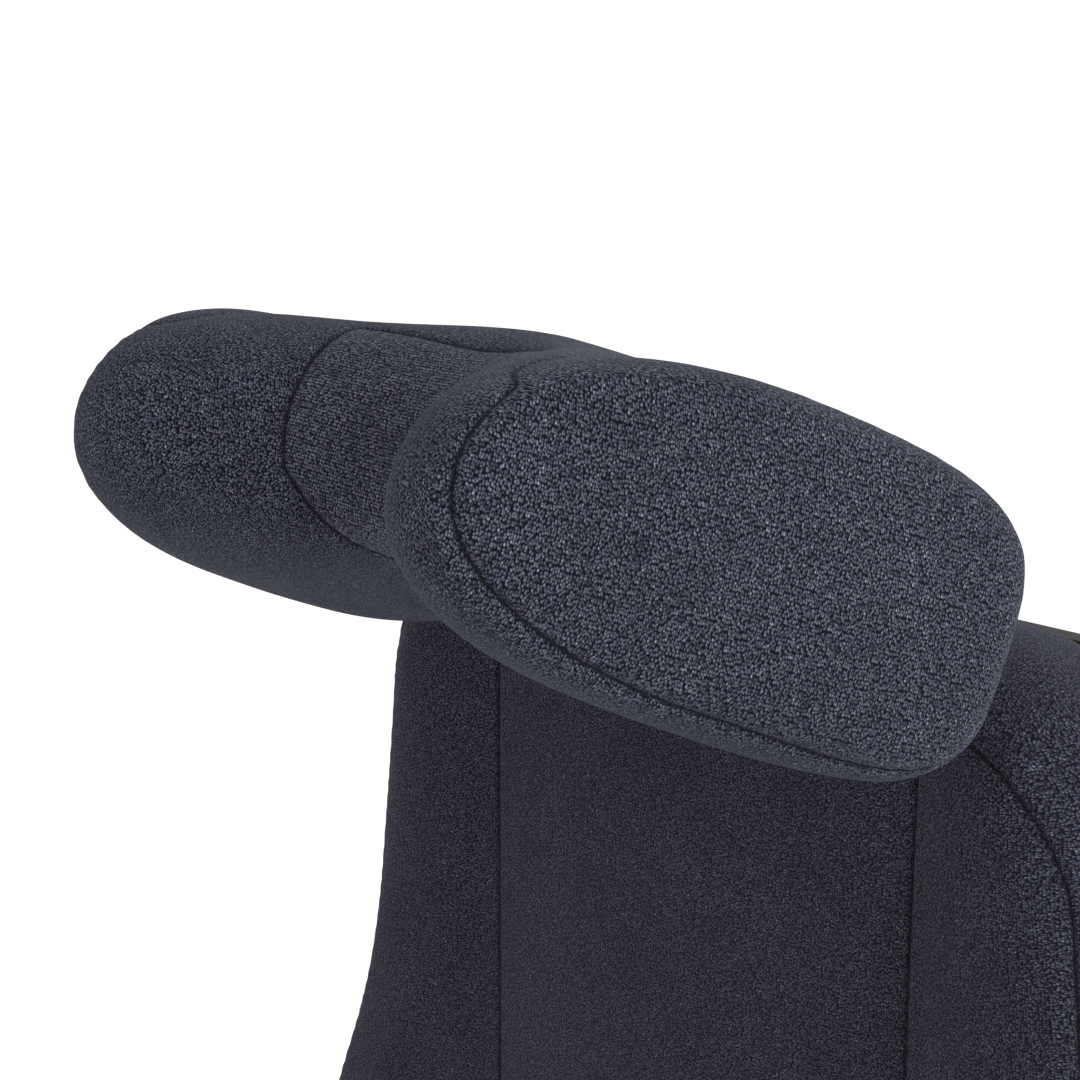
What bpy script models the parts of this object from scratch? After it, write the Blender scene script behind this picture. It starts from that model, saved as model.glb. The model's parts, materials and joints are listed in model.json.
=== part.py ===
# Office chair with a winged headrest on a padded, reclining back and a five-arm base on castors.
# Metres, +Z up. The sitter faces -Y, and +X is to the right of someone who looks at the chair's front.
# Every place below is measured from the column's axis on the floor. The last lines put the origin
# under the middle of the finished chair.

from math import asin, atan2, cos, degrees, pi, radians, sin, sqrt, tan

import bmesh
import bpy
from mathutils import Vector

# clearances
SEAT_GAP = 0.0003
RUN_GAP = 0.0008

# castors
WHEEL_RADIUS = 0.030
WHEEL_WIDTH = 0.017
AXLE_RADIUS = 0.004
WEB_THICKNESS = 0.010
WEB_RADIUS = 0.0135
WEB_REACH = 0.018
HOOD_CLEARANCE = 0.0025
HOOD_SKIRT_ANGLE = 12.0
HOOD_WALL = 0.004
CASTOR_TRAIL = 0.014
STEM_RADIUS = 0.0055
STEM_LENGTH = 0.032
STEM_COLLAR_RADIUS = 0.011
STEM_COLLAR_HEIGHT = 0.0117

# star base
ARM_COUNT = 5
CASTOR_REACH = 0.290
SOCKET_RADIUS = 0.016
SOCKET_ROOF = 0.006
HUB_RADIUS = 0.042
HUB_HEIGHT = 0.062
ARM_ROOT_WIDTH = 0.052
ARM_TIP_WIDTH = 0.030
ARM_ROOT_HEIGHT = 0.044
ARM_TIP_HEIGHT = 0.026

# column
TUBE_RADIUS = 0.025
TUBE_WALL = 0.0035
TUBE_LENGTH = 0.200
TUBE_FLOOR = 0.004
CYLINDER_RADIUS = 0.014
BUSH_LENGTH = 0.060
BUSH_FLANGE = 0.004
CLIP_HEIGHT = 0.003
LIFT_TRAVEL = 0.100
COLUMN_CLEAR = 0.034

# tilt housing and its plate
HOUSING_WIDTH = 0.136
HOUSING_FRONT = -0.110
HOUSING_BACK = 0.100
HOUSING_HEIGHT = 0.054
HOUSING_WALL = 0.004
BOSS_RADIUS = 0.024
BOSS_SKIRT = 0.016
BOSS_RISE = 0.038
PLATE_WIDTH = 0.230
PLATE_THICKNESS = 0.005
SHAFT_RADIUS = 0.0075
SHAFT_Y = 0.070
SLEEVE_RADIUS = 0.018
LEVER_RADIUS = 0.004
LEVER_REACH = 0.225
LEVER_Y = -0.004
TILT_LEVER_Y = -0.045
PADDLE_LENGTH = 0.055
PADDLE_WIDTH = 0.026
PADDLE_THICKNESS = 0.009
KNOB_RADIUS = 0.022
KNOB_LENGTH = 0.030
KNOB_RIBS = 10

# seat slide
RAIL_WIDTH = 0.014
RAIL_HEIGHT = 0.012
RAIL_CENTRE = 0.107
RAIL_LENGTH = 0.230
CHANNEL_WALL = 0.003
CHANNEL_FLANGE = 0.018
CHANNEL_LENGTH = 0.220
SCREW_RADIUS = 0.002
SCREW_HEAD_RADIUS = 0.0042
SCREW_HEAD = 0.0025
SCREW_BITE = 0.009

# seat
SEAT_WIDTH = 0.510
SEAT_REAR_WIDTH = 0.450
SEAT_FRONT = -0.265
SEAT_BACK = 0.205
SEAT_CORNER = 0.095
SEAT_SHELL_INSET = 0.018
SEAT_SHELL_THICKNESS = 0.012
SEAT_CUSHION_HEIGHT = 0.072
SEAT_ROLL = 0.034
SEAT_CROWN = 0.006
SEAT_WATERFALL = 0.022

# cushion sides, as shares of the cushion's depth, and how far the crown of its face reaches in
CUSHION_TUCK = 0.014
BELLY_SHARE = 0.32
CROWN_REACH = 0.130
ROLL_STEPS = 5
CROWN_STEPS = 3

# yoke and upright bar
EAR_THICKNESS = 0.006
EAR_RADIUS = 0.016
EAR_HALF_HEIGHT = 0.012
CROSSBAR_Y = 0.150
CROSSBAR_DEPTH = 0.025
BAR_WIDTH = 0.070
BAR_THICKNESS = 0.012
BAR_BEND = 0.055
BACK_TRAVEL = 0.070

# back
BACK_BOTTOM = 0.500
BACK_TOP = 1.060
BACK_TOP_WIDTH = 0.428
BACK_LOW_WIDTH = 0.530
BACK_FLARE_DROP = 0.285
BACK_FLARE_SPAN = 0.260
BACK_TOP_CORNER = 0.075
BACK_LOW_CORNER = 0.130
BACK_PAD_THICKNESS = 0.068
BACK_ROLL = 0.040
BACK_CROWN = 0.005
WING_WIDTH = 0.094
WING_REACH = 0.017
WING_LOW_REACH = 0.028
CORE_THICKNESS = 0.012
CORE_INSET = 0.016
COVER_INSET = 0.030
COVER_DEPTH = 0.020
COVER_WALL = 0.003
CARRIER_WALL = 0.006
CARRIER_WIDTH = 0.096
CARRIER_RISE = 0.120
CARRIER_HEIGHT = 0.140
SCREW_EDGE = 0.020
BACK_REAR = 0.3124

# headrest carrier
POST_WIDTH = 0.036
POST_THICKNESS = 0.006
POST_TAIL = 0.040
GUIDE_DROP = 0.160
GUIDE_HEIGHT = 0.100
GUIDE_WALL = 0.0045
PIN_RADIUS = 0.004
PIN_RISE = 0.022
EYE_RADIUS = 0.009
LUG_THICKNESS = 0.005
LUG_RADIUS = 0.010
LUG_ROOT_HALF = 0.016
PLATE_HALF_WIDTH = 0.045
PLATE_HALF_HEIGHT = 0.024
PLATE_RAISE = 0.016
BRACKET_PLATE = 0.005

# headrest cushion: a straight centre, two bends and two wings, pitched nose up
HEADREST_PITCH = 24.0
HEADREST_AHEAD = 0.1056
HEADREST_ABOVE = 0.0333
HEADREST_HALF_WIDTH = 0.1577
HEADREST_UP = 0.058
HEADREST_DOWN = 0.0508
NOSE_REACH = 0.1032
REAR_REACH = 0.0877
NOSE_DROP = 0.004
NOSE_SQUARENESS = 2.3
CHIN_SQUARENESS = 1.95
REAR_SQUARENESS = 3.75
HOLLOW_DEPTH = 0.0714
HOLLOW_HALF = 0.1185
HOLLOW_RISE = 0.0104
END_TOE = 21.0
END_ROUND = 0.0234
RECESS_DEPTH = 0.0135

# facets
ROUND_SIDES = 24
SMALL_SIDES = 12
PAD_SECTION = 28
SPAN_STEPS = 9
END_STEPS = 5
END_TURN = 83.0

# heights that follow from the sizes above
AXLE_Z = WHEEL_RADIUS
HOOD_RADIUS = WHEEL_RADIUS + HOOD_CLEARANCE + HOOD_WALL
COLLAR_LOW = WHEEL_RADIUS + WHEEL_RADIUS + RUN_GAP
COLLAR_TOP = COLLAR_LOW + STEM_COLLAR_HEIGHT
SOCKET_LOW = COLLAR_TOP + SEAT_GAP
STEM_TOP = COLLAR_TOP + STEM_LENGTH
SOCKET_TOP = STEM_TOP + SEAT_GAP + SOCKET_ROOF
HUB_LOW = SOCKET_LOW
HUB_TOP = HUB_LOW + HUB_HEIGHT
TUBE_LOW = HUB_LOW - CLIP_HEIGHT
TUBE_TOP = TUBE_LOW + TUBE_LENGTH
BUSH_TOP = TUBE_TOP + SEAT_GAP + BUSH_FLANGE
CYLINDER_LOW = TUBE_TOP - BUSH_LENGTH - LIFT_TRAVEL
HOUSING_LOW = BUSH_TOP + COLUMN_CLEAR + BOSS_SKIRT
HOUSING_TOP = HOUSING_LOW + HOUSING_HEIGHT
BOSS_LOW = HOUSING_LOW - BOSS_SKIRT
BOSS_TOP = HOUSING_LOW + BOSS_RISE
MECHANISM_Z = HOUSING_LOW + HOUSING_HEIGHT / 2
PLATE_LOW = HOUSING_TOP + SEAT_GAP
PLATE_TOP = PLATE_LOW + PLATE_THICKNESS
RAIL_LOW = PLATE_TOP + SEAT_GAP
RAIL_TOP = RAIL_LOW + RAIL_HEIGHT
CHANNEL_TOP = RAIL_TOP + SEAT_GAP + CHANNEL_WALL
SHELL_LOW = CHANNEL_TOP + SEAT_GAP
SHELL_TOP = SHELL_LOW + SEAT_SHELL_THICKNESS
CUSHION_LOW = SHELL_TOP + SEAT_GAP
HOUSING_SIDE = HOUSING_WIDTH / 2
EAR_INNER = HOUSING_SIDE + RUN_GAP
EAR_OUTER = EAR_INNER + EAR_THICKNESS

# depths of the back's layers, from the rear cover forwards
COVER_REAR = BACK_REAR
COVER_FRONT = COVER_REAR - COVER_DEPTH
CORE_REAR = COVER_FRONT - SEAT_GAP
CORE_FRONT = CORE_REAR - CORE_THICKNESS
PAD_REAR = CORE_FRONT - SEAT_GAP
PAD_FRONT = PAD_REAR - BACK_PAD_THICKNESS
CARRIER_FRONT = COVER_REAR + SEAT_GAP
BAR_FRONT = CARRIER_FRONT + CARRIER_WALL + SEAT_GAP
BAR_CENTRE_Y = BAR_FRONT + BAR_THICKNESS / 2
CARRIER_REAR = BAR_FRONT + BAR_THICKNESS + SEAT_GAP + CARRIER_WALL
CARRIER_LOW = BACK_BOTTOM + CARRIER_RISE
CARRIER_TOP = CARRIER_LOW + CARRIER_HEIGHT
BAR_TOP = CARRIER_TOP + BACK_TRAVEL
GUIDE_LOW = BACK_TOP - GUIDE_DROP
POST_LOW = GUIDE_LOW - POST_TAIL
PIN_HEIGHT = BACK_TOP + PIN_RISE
GUIDE_FRONT = CORE_REAR + SEAT_GAP
POST_FRONT = GUIDE_FRONT + GUIDE_WALL + SEAT_GAP
POST_CENTRE_Y = POST_FRONT + POST_THICKNESS / 2
GUIDE_REAR = POST_FRONT + POST_THICKNESS + SEAT_GAP + GUIDE_WALL


def finish(name, colour, roughness, metallic=0.0):
    material = bpy.data.materials.new(name)
    material.use_nodes = True
    shader = material.node_tree.nodes["Principled BSDF"]
    shader.inputs["Base Color"].default_value = (*colour, 1.0)
    shader.inputs["Roughness"].default_value = roughness
    shader.inputs["Metallic"].default_value = metallic
    return material


def pivot(name, place, parent=None, turn=(0.0, 0.0, 0.0)):
    # an empty on a joint's axis; place is relative to the parent
    empty = bpy.data.objects.new(name, None)
    bpy.context.scene.collection.objects.link(empty)
    empty.parent = parent
    empty.location = place
    empty.rotation_euler = turn
    return empty


def chair_place(empty):
    # where an upright pivot stands, measured from the column's foot
    place = Vector(empty.location)
    while empty.parent:
        empty = empty.parent
        place += empty.location
    return place


def solid(name, shape, material, parent, local=False):
    # one closed mesh object; a shape in chair places is moved into its pivot's frame
    points, faces = shape
    shift = Vector((0.0, 0.0, 0.0)) if local else chair_place(parent)
    mesh = bpy.data.meshes.new(name)
    mesh.from_pydata([Vector(p) - shift for p in points], [], faces)
    work = bmesh.new()
    work.from_mesh(mesh)
    bmesh.ops.recalc_face_normals(work, faces=work.faces)
    work.to_mesh(mesh)
    work.free()
    mesh.shade_smooth()
    mesh.set_sharp_from_angle(angle=radians(35))
    if material:
        mesh.materials.append(material)
    made = bpy.data.objects.new(name, mesh)
    bpy.context.scene.collection.objects.link(made)
    made.parent = parent
    return made


def boolean(target, shape, operation, parent, local=False):
    # a hidden helper solid that is joined to the target or cut out of it
    helper = solid(f"{target.name}_{operation.lower()}", shape, None, parent, local)
    helper.hide_render = True
    helper.display_type = "WIRE"
    modifier = target.modifiers.new(operation.lower(), "BOOLEAN")
    modifier.operation = operation
    modifier.object = helper


def box(low, high):
    points = [(x, y, z) for z in (low[2], high[2]) for y in (low[1], high[1]) for x in (low[0], high[0])]
    faces = [(0, 1, 3, 2), (4, 6, 7, 5), (0, 4, 5, 1), (2, 3, 7, 6), (0, 2, 6, 4), (1, 5, 7, 3)]
    return points, faces


def along(axis, a, b, depth):
    # a flat outline's point (a, b) at a depth along the named axis
    return {"X": (depth, a, b), "Y": (a, depth, b), "Z": (a, b, depth)}[axis]


def prism(outline, low, high, axis):
    count = len(outline)
    points = [along(axis, a, b, low) for a, b in outline] + [along(axis, a, b, high) for a, b in outline]
    faces = [tuple(range(count)), tuple(range(count, 2 * count))]
    for i in range(count):
        j = (i + 1) % count
        faces.append((i, j, count + j, count + i))
    return points, faces


def turned(profile, sides, axis="Z", centre=(0.0, 0.0), ring=True):
    # a profile of (radius, depth) points turned about an axis; a ring's profile closes on itself
    points = []
    for k in range(sides):
        angle = 2 * pi * (k + 0.5) / sides
        for radius, depth in profile:
            a = centre[0] + radius * cos(angle)
            b = centre[1] + radius * sin(angle)
            points.append(along(axis, a, b, depth))
    count = len(profile)
    faces = []
    for k in range(sides):
        here = k * count
        there = ((k + 1) % sides) * count
        for i in range(count if ring else count - 1):
            j = (i + 1) % count
            faces.append((here + i, here + j, there + j, there + i))
    if not ring:
        faces.append(tuple(k * count for k in range(sides)))
        faces.append(tuple(k * count + count - 1 for k in range(sides)))
    return points, faces


def rod(radius, low, high, sides, axis="Z", centre=(0.0, 0.0)):
    return turned([(radius, low), (radius, high)], sides, axis, centre, ring=False)


def tube(inner, outer, low, high, sides, axis="Z", centre=(0.0, 0.0)):
    profile = [(inner, low), (outer, low), (outer, high), (inner, high)]
    return turned(profile, sides, axis, centre)


def loft(rings):
    # closed skin over rings of equal length, with flat ends
    count = len(rings[0])
    points = [p for ring in rings for p in ring]
    faces = [tuple(range(count)), tuple(range(len(points) - count, len(points)))]
    for r in range(len(rings) - 1):
        for i in range(count):
            j = (i + 1) % count
            faces.append((r * count + i, r * count + j, (r + 1) * count + j, (r + 1) * count + i))
    return points, faces


def merged(shapes):
    # several separate shapes as one mesh
    points = []
    faces = []
    for shape_points, shape_faces in shapes:
        start = len(points)
        points += shape_points
        faces += [tuple(start + i for i in face) for face in shape_faces]
    return points, faces


def arc(centre, radius, start, stop, steps):
    sweep = [radians(start + (stop - start) * k / steps) for k in range(steps + 1)]
    return [(centre[0] + radius * cos(a), centre[1] + radius * sin(a)) for a in sweep]


def smooth(value, low, high):
    t = min(1.0, max(0.0, (value - low) / (high - low)))
    return t * t * (3 - 2 * t)


def pad_outline(low, high, half_width, low_corner, high_corner):
    # outline of a padded board, symmetric about 0: half_width(b) gives its side between rounded corners
    corner_steps = 5
    side_steps = 9
    right = []
    for k in range(corner_steps):
        angle = (pi / 2) * k / corner_steps
        b = low + low_corner * (1 - cos(angle))
        right.append((half_width(low + low_corner) - low_corner * (1 - sin(angle)), b))
    span = high - high_corner - low - low_corner
    for k in range(side_steps + 1):
        b = low + low_corner + span * k / side_steps
        right.append((half_width(b), b))
    for k in range(1, corner_steps + 1):
        angle = (pi / 2) * k / corner_steps
        b = high - high_corner * (1 - sin(angle))
        right.append((half_width(high - high_corner) - high_corner * (1 - cos(angle)), b))
    return right + [(-a, b) for a, b in reversed(right)]


def inset(outline, distance):
    # every side moves in by about the distance: the outline is scaled to its reduced box
    a_low = min(a for a, b in outline)
    a_high = max(a for a, b in outline)
    b_low = min(b for a, b in outline)
    b_high = max(b for a, b in outline)
    a_scale = 1 - 2 * distance / (a_high - a_low)
    b_scale = 1 - 2 * distance / (b_high - b_low)
    a_mid = (a_low + a_high) / 2
    b_mid = (b_low + b_high) / 2
    return [(a_mid + (a - a_mid) * a_scale, b_mid + (b - b_mid) * b_scale) for a, b in outline]


def cushion_layers(base, face, roll, crown):
    # rings of (inset, depth): the side draws in at its base, swells, rolls over into the face and crowns
    depth = face - base
    belly = base + BELLY_SHARE * depth
    layers = [(CUSHION_TUCK, base), (CUSHION_TUCK / 4, (base + belly) / 2), (0.0, belly)]
    for k in range(1, ROLL_STEPS + 1):
        angle = (pi / 2) * k / ROLL_STEPS
        layers.append((roll * (1 - cos(angle)), belly + (face - belly) * sin(angle)))
    outward = crown if depth > 0 else -crown
    for k in range(1, CROWN_STEPS + 1):
        share = k / CROWN_STEPS
        layers.append((roll + CROWN_REACH * share, face + outward * share * (2 - share)))
    return layers


def padded(outline, layers, axis, drop=None):
    # a crowned cushion over rings of (inset, depth); drop(a, b, depth) lowers the face where it rolls over
    rings = []
    for distance, depth in layers:
        ring = []
        for a, b in inset(outline, distance):
            ring.append(along(axis, a, b, drop(a, b, depth) if drop else depth))
        rings.append(ring)
    return loft(rings)


def star_base(root, material):
    hub = tube(TUBE_RADIUS + SEAT_GAP, HUB_RADIUS, HUB_LOW, HUB_TOP, ROUND_SIDES)
    base = solid("star_base", hub, material, root)
    arm_top = HUB_TOP - RUN_GAP
    bores = []
    for k in range(ARM_COUNT):
        turn = castor_turn(k)
        across = Vector((-sin(turn), cos(turn), 0.0))
        out = Vector((cos(turn), sin(turn), 0.0))
        root_radius = (TUBE_RADIUS + HUB_RADIUS) / 2
        rings = []
        for reach, width, low, high in (
            (root_radius, ARM_ROOT_WIDTH, arm_top - ARM_ROOT_HEIGHT, arm_top),
            (CASTOR_REACH, ARM_TIP_WIDTH, SOCKET_TOP - RUN_GAP - ARM_TIP_HEIGHT, SOCKET_TOP - RUN_GAP),
        ):
            chamfer = width / 5
            half = width / 2
            section = [
                (-half, low), (half, low), (half, high - chamfer),
                (half - chamfer, high), (chamfer - half, high), (-half, high - chamfer),
            ]
            rings.append([tuple(out * reach + across * a + Vector((0.0, 0.0, b))) for a, b in section])
        boolean(base, loft(rings), "UNION", root)
        tip = (out.x * CASTOR_REACH, out.y * CASTOR_REACH)
        boolean(base, rod(SOCKET_RADIUS, SOCKET_LOW, SOCKET_TOP, ROUND_SIDES, "Z", tip), "UNION", root)
        bore_low = SOCKET_LOW - RUN_GAP
        bores.append(rod(STEM_RADIUS + SEAT_GAP, bore_low, STEM_TOP + SEAT_GAP, SMALL_SIDES, "Z", tip))
    boolean(base, merged(bores), "DIFFERENCE", root)


def castor_turn(index):
    # the first arm points to the front
    return -pi / 2 + 2 * pi * index / ARM_COUNT


def castor(index, root, plastic, steel, tread):
    turn = castor_turn(index)
    swivel = pivot(
        f"castor_{index + 1}",
        (CASTOR_REACH * cos(turn), CASTOR_REACH * sin(turn), 0.0),
        root,
        (0.0, 0.0, turn + pi),
    )
    roll = pivot(f"wheels_{index + 1}", (-CASTOR_TRAIL, 0.0, AXLE_Z), swivel)
    axle = (-CASTOR_TRAIL, AXLE_Z)
    web_half = WEB_THICKNESS / 2
    wheel_low = web_half + RUN_GAP
    wheel_high = wheel_low + WHEEL_WIDTH
    inner = HOOD_RADIUS - HOOD_WALL
    shell = arc(axle, HOOD_RADIUS, HOOD_SKIRT_ANGLE, 180 - HOOD_SKIRT_ANGLE, SMALL_SIDES)
    shell += arc(axle, inner, 180 - HOOD_SKIRT_ANGLE, HOOD_SKIRT_ANGLE, SMALL_SIDES)
    hood_shape = prism(shell, -wheel_high, wheel_high, "Y")
    hood = solid(f"castor_hood_{index + 1}", hood_shape, plastic, swivel, True)
    web_side = AXLE_Z + sqrt(inner ** 2 - WEB_REACH ** 2) + HOOD_WALL / 2
    web_top = AXLE_Z + inner + HOOD_WALL / 2
    web = arc(axle, WEB_RADIUS, 180, 360, SMALL_SIDES // 2)
    web += [(axle[0] + WEB_REACH, web_side), (axle[0], web_top), (axle[0] - WEB_REACH, web_side)]
    boolean(hood, prism(web, -web_half, web_half, "Y"), "UNION", swivel, True)
    stem = [(STEM_COLLAR_RADIUS, COLLAR_LOW), (STEM_COLLAR_RADIUS, COLLAR_TOP)]
    stem += [(STEM_RADIUS, COLLAR_TOP), (STEM_RADIUS, STEM_TOP)]
    boolean(hood, turned(stem, SMALL_SIDES, ring=False), "UNION", swivel, True)
    bore = rod(AXLE_RADIUS + SEAT_GAP, -WEB_THICKNESS, WEB_THICKNESS, SMALL_SIDES, "Y", axle)
    boolean(hood, bore, "DIFFERENCE", swivel, True)
    axle_half = wheel_high - SEAT_GAP
    axle_rod = rod(AXLE_RADIUS, -axle_half, axle_half, SMALL_SIDES, "Y")
    solid(f"castor_axle_{index + 1}", axle_rod, steel, roll, True)
    shoulder = WHEEL_WIDTH / 6
    dish = WHEEL_WIDTH / 8
    for side, name in ((-1, "left"), (1, "right")):
        profile = [
            (AXLE_RADIUS + SEAT_GAP, wheel_low),
            (WHEEL_RADIUS - shoulder, wheel_low),
            (WHEEL_RADIUS, wheel_low + shoulder),
            (WHEEL_RADIUS, wheel_high - shoulder),
            (WHEEL_RADIUS - shoulder, wheel_high),
            (0.6 * WHEEL_RADIUS, wheel_high - dish),
            (AXLE_RADIUS + SEAT_GAP, wheel_high - dish),
        ]
        wheel = turned([(r, side * d) for r, d in profile], ROUND_SIDES, "Y")
        solid(f"castor_wheel_{name}_{index + 1}", wheel, tread, roll, True)


def column(root, lift, steel, chrome, plastic):
    inner = TUBE_RADIUS - TUBE_WALL
    tube_profile = [
        (CYLINDER_RADIUS / 2, TUBE_LOW), (TUBE_RADIUS, TUBE_LOW), (TUBE_RADIUS, TUBE_TOP),
        (inner, TUBE_TOP), (inner, TUBE_LOW + TUBE_FLOOR), (CYLINDER_RADIUS / 2, TUBE_LOW + TUBE_FLOOR),
    ]
    solid("column_tube", turned(tube_profile, ROUND_SIDES), steel, root)
    bore = CYLINDER_RADIUS + SEAT_GAP
    bush_profile = [
        (bore, TUBE_TOP - BUSH_LENGTH), (inner - SEAT_GAP, TUBE_TOP - BUSH_LENGTH),
        (inner - SEAT_GAP, TUBE_TOP + SEAT_GAP), (TUBE_RADIUS, TUBE_TOP + SEAT_GAP),
        (TUBE_RADIUS, BUSH_TOP), (bore, BUSH_TOP),
    ]
    solid("column_bush", turned(bush_profile, ROUND_SIDES), plastic, root)
    clip_high = HUB_LOW - SEAT_GAP
    clip_low = clip_high - CLIP_HEIGHT
    clip = tube(TUBE_RADIUS + SEAT_GAP, HUB_RADIUS - TUBE_WALL, clip_low, clip_high, ROUND_SIDES)
    solid("column_clip", clip, steel, root)
    cylinder = rod(CYLINDER_RADIUS, CYLINDER_LOW, BOSS_TOP - SEAT_GAP, ROUND_SIDES)
    solid("gas_cylinder", cylinder, chrome, lift)


def tilt_unit(frame, lever_pivot, tilt_pivot, knob_pivot, cast, steel, rubber, plastic):
    housing = solid(
        "tilt_housing",
        box((-HOUSING_SIDE, HOUSING_FRONT, HOUSING_LOW), (HOUSING_SIDE, HOUSING_BACK, HOUSING_TOP)),
        cast, frame,
    )
    inner_side = HOUSING_SIDE - HOUSING_WALL
    boolean(
        housing,
        box(
            (-inner_side, HOUSING_FRONT + HOUSING_WALL, HOUSING_LOW + HOUSING_WALL),
            (inner_side, HOUSING_BACK - HOUSING_WALL, HOUSING_TOP + HOUSING_WALL),
        ),
        "DIFFERENCE", frame,
    )
    boolean(housing, rod(BOSS_RADIUS, BOSS_LOW, BOSS_TOP, ROUND_SIDES), "UNION", frame)
    through = HOUSING_SIDE + HOUSING_WALL
    lever_hole = LEVER_RADIUS + RUN_GAP
    hole_end = HOUSING_WALL - inner_side
    knob_rod = LEVER_RADIUS
    cutters = [
        rod(CYLINDER_RADIUS + SEAT_GAP, BOSS_LOW - RUN_GAP, BOSS_TOP + RUN_GAP, ROUND_SIDES),
        rod(SHAFT_RADIUS + SEAT_GAP, -through, through, ROUND_SIDES, "X", (SHAFT_Y, MECHANISM_Z)),
        rod(lever_hole, -through, hole_end, SMALL_SIDES, "X", (LEVER_Y, MECHANISM_Z)),
        rod(lever_hole, -hole_end, through, SMALL_SIDES, "X", (TILT_LEVER_Y, MECHANISM_Z)),
        rod(
            knob_rod + SEAT_GAP, HOUSING_FRONT - HOUSING_WALL, HOUSING_FRONT + 2 * HOUSING_WALL,
            SMALL_SIDES, "Y", (0.0, MECHANISM_Z),
        ),
    ]
    boolean(housing, merged(cutters), "DIFFERENCE", frame)

    plate = box(
        (-PLATE_WIDTH / 2, -RAIL_LENGTH / 2, PLATE_LOW),
        (PLATE_WIDTH / 2, RAIL_LENGTH / 2, PLATE_TOP),
    )
    solid("carrier_plate", plate, steel, frame)
    for side, name in ((-1, "left"), (1, "right")):
        rail = box(
            (side * RAIL_CENTRE - RAIL_WIDTH / 2, -RAIL_LENGTH / 2, RAIL_LOW),
            (side * RAIL_CENTRE + RAIL_WIDTH / 2, RAIL_LENGTH / 2, RAIL_TOP),
        )
        solid(f"slide_rail_{name}", rail, steel, frame)

    shaft_end = EAR_OUTER + EAR_THICKNESS
    axis = (SHAFT_Y, MECHANISM_Z)
    solid("recline_shaft", rod(SHAFT_RADIUS, -shaft_end, shaft_end, ROUND_SIDES, "X", axis), steel, frame)
    sleeve_end = inner_side - SEAT_GAP
    sleeve = tube(SHAFT_RADIUS + SEAT_GAP, SLEEVE_RADIUS, -sleeve_end, sleeve_end, ROUND_SIDES, "X", axis)
    solid("torsion_sleeve", sleeve, rubber, frame)

    lever_inner = BOSS_RADIUS + LEVER_RADIUS + RUN_GAP
    lever(lever_pivot, "lift_lever", -1, LEVER_Y, lever_inner, plastic)
    lever(tilt_pivot, "tilt_lever", 1, TILT_LEVER_Y, lever_inner, plastic)

    knob_front = HOUSING_FRONT - RUN_GAP - KNOB_LENGTH
    knob_back = HOUSING_FRONT - RUN_GAP
    outline = []
    for k in range(2 * KNOB_RIBS):
        radius = KNOB_RADIUS - (k % 2) * KNOB_RADIUS / 9
        angle = pi * k / KNOB_RIBS
        outline.append((radius * cos(angle), MECHANISM_Z + radius * sin(angle)))
    knob = solid("tension_knob", prism(outline, knob_front, knob_back, "Y"), plastic, knob_pivot)
    rod_end = HOUSING_FRONT + BOSS_RADIUS
    boolean(
        knob,
        rod(knob_rod, knob_front + KNOB_LENGTH / 2, rod_end, SMALL_SIDES, "Y", (0.0, MECHANISM_Z)),
        "UNION", knob_pivot,
    )


def lever(lever_pivot, name, side, y, inner_end, material):
    start = side * inner_end
    stop = side * (LEVER_REACH - PADDLE_LENGTH / 2)
    made = solid(
        name,
        rod(LEVER_RADIUS, min(start, stop), max(start, stop), SMALL_SIDES, "X", (y, MECHANISM_Z)),
        material, lever_pivot,
    )
    outer = side * LEVER_REACH
    root_end = side * (LEVER_REACH - PADDLE_LENGTH)
    thickness = PADDLE_THICKNESS / 2
    rounding = PADDLE_WIDTH / 4
    half = PADDLE_WIDTH / 2
    outline = [
        (root_end, y - LEVER_RADIUS), (outer - side * rounding, y - half), (outer, y - half + rounding),
        (outer, y + half - rounding), (outer - side * rounding, y + half), (root_end, y + LEVER_RADIUS),
    ]
    paddle = prism(outline, MECHANISM_Z - thickness, MECHANISM_Z + thickness, "Z")
    boolean(made, paddle, "UNION", lever_pivot)


def seat_half_width(y):
    return (SEAT_REAR_WIDTH + (SEAT_WIDTH - SEAT_REAR_WIDTH) * smooth(y, SEAT_BACK, SEAT_FRONT / 2)) / 2


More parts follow.
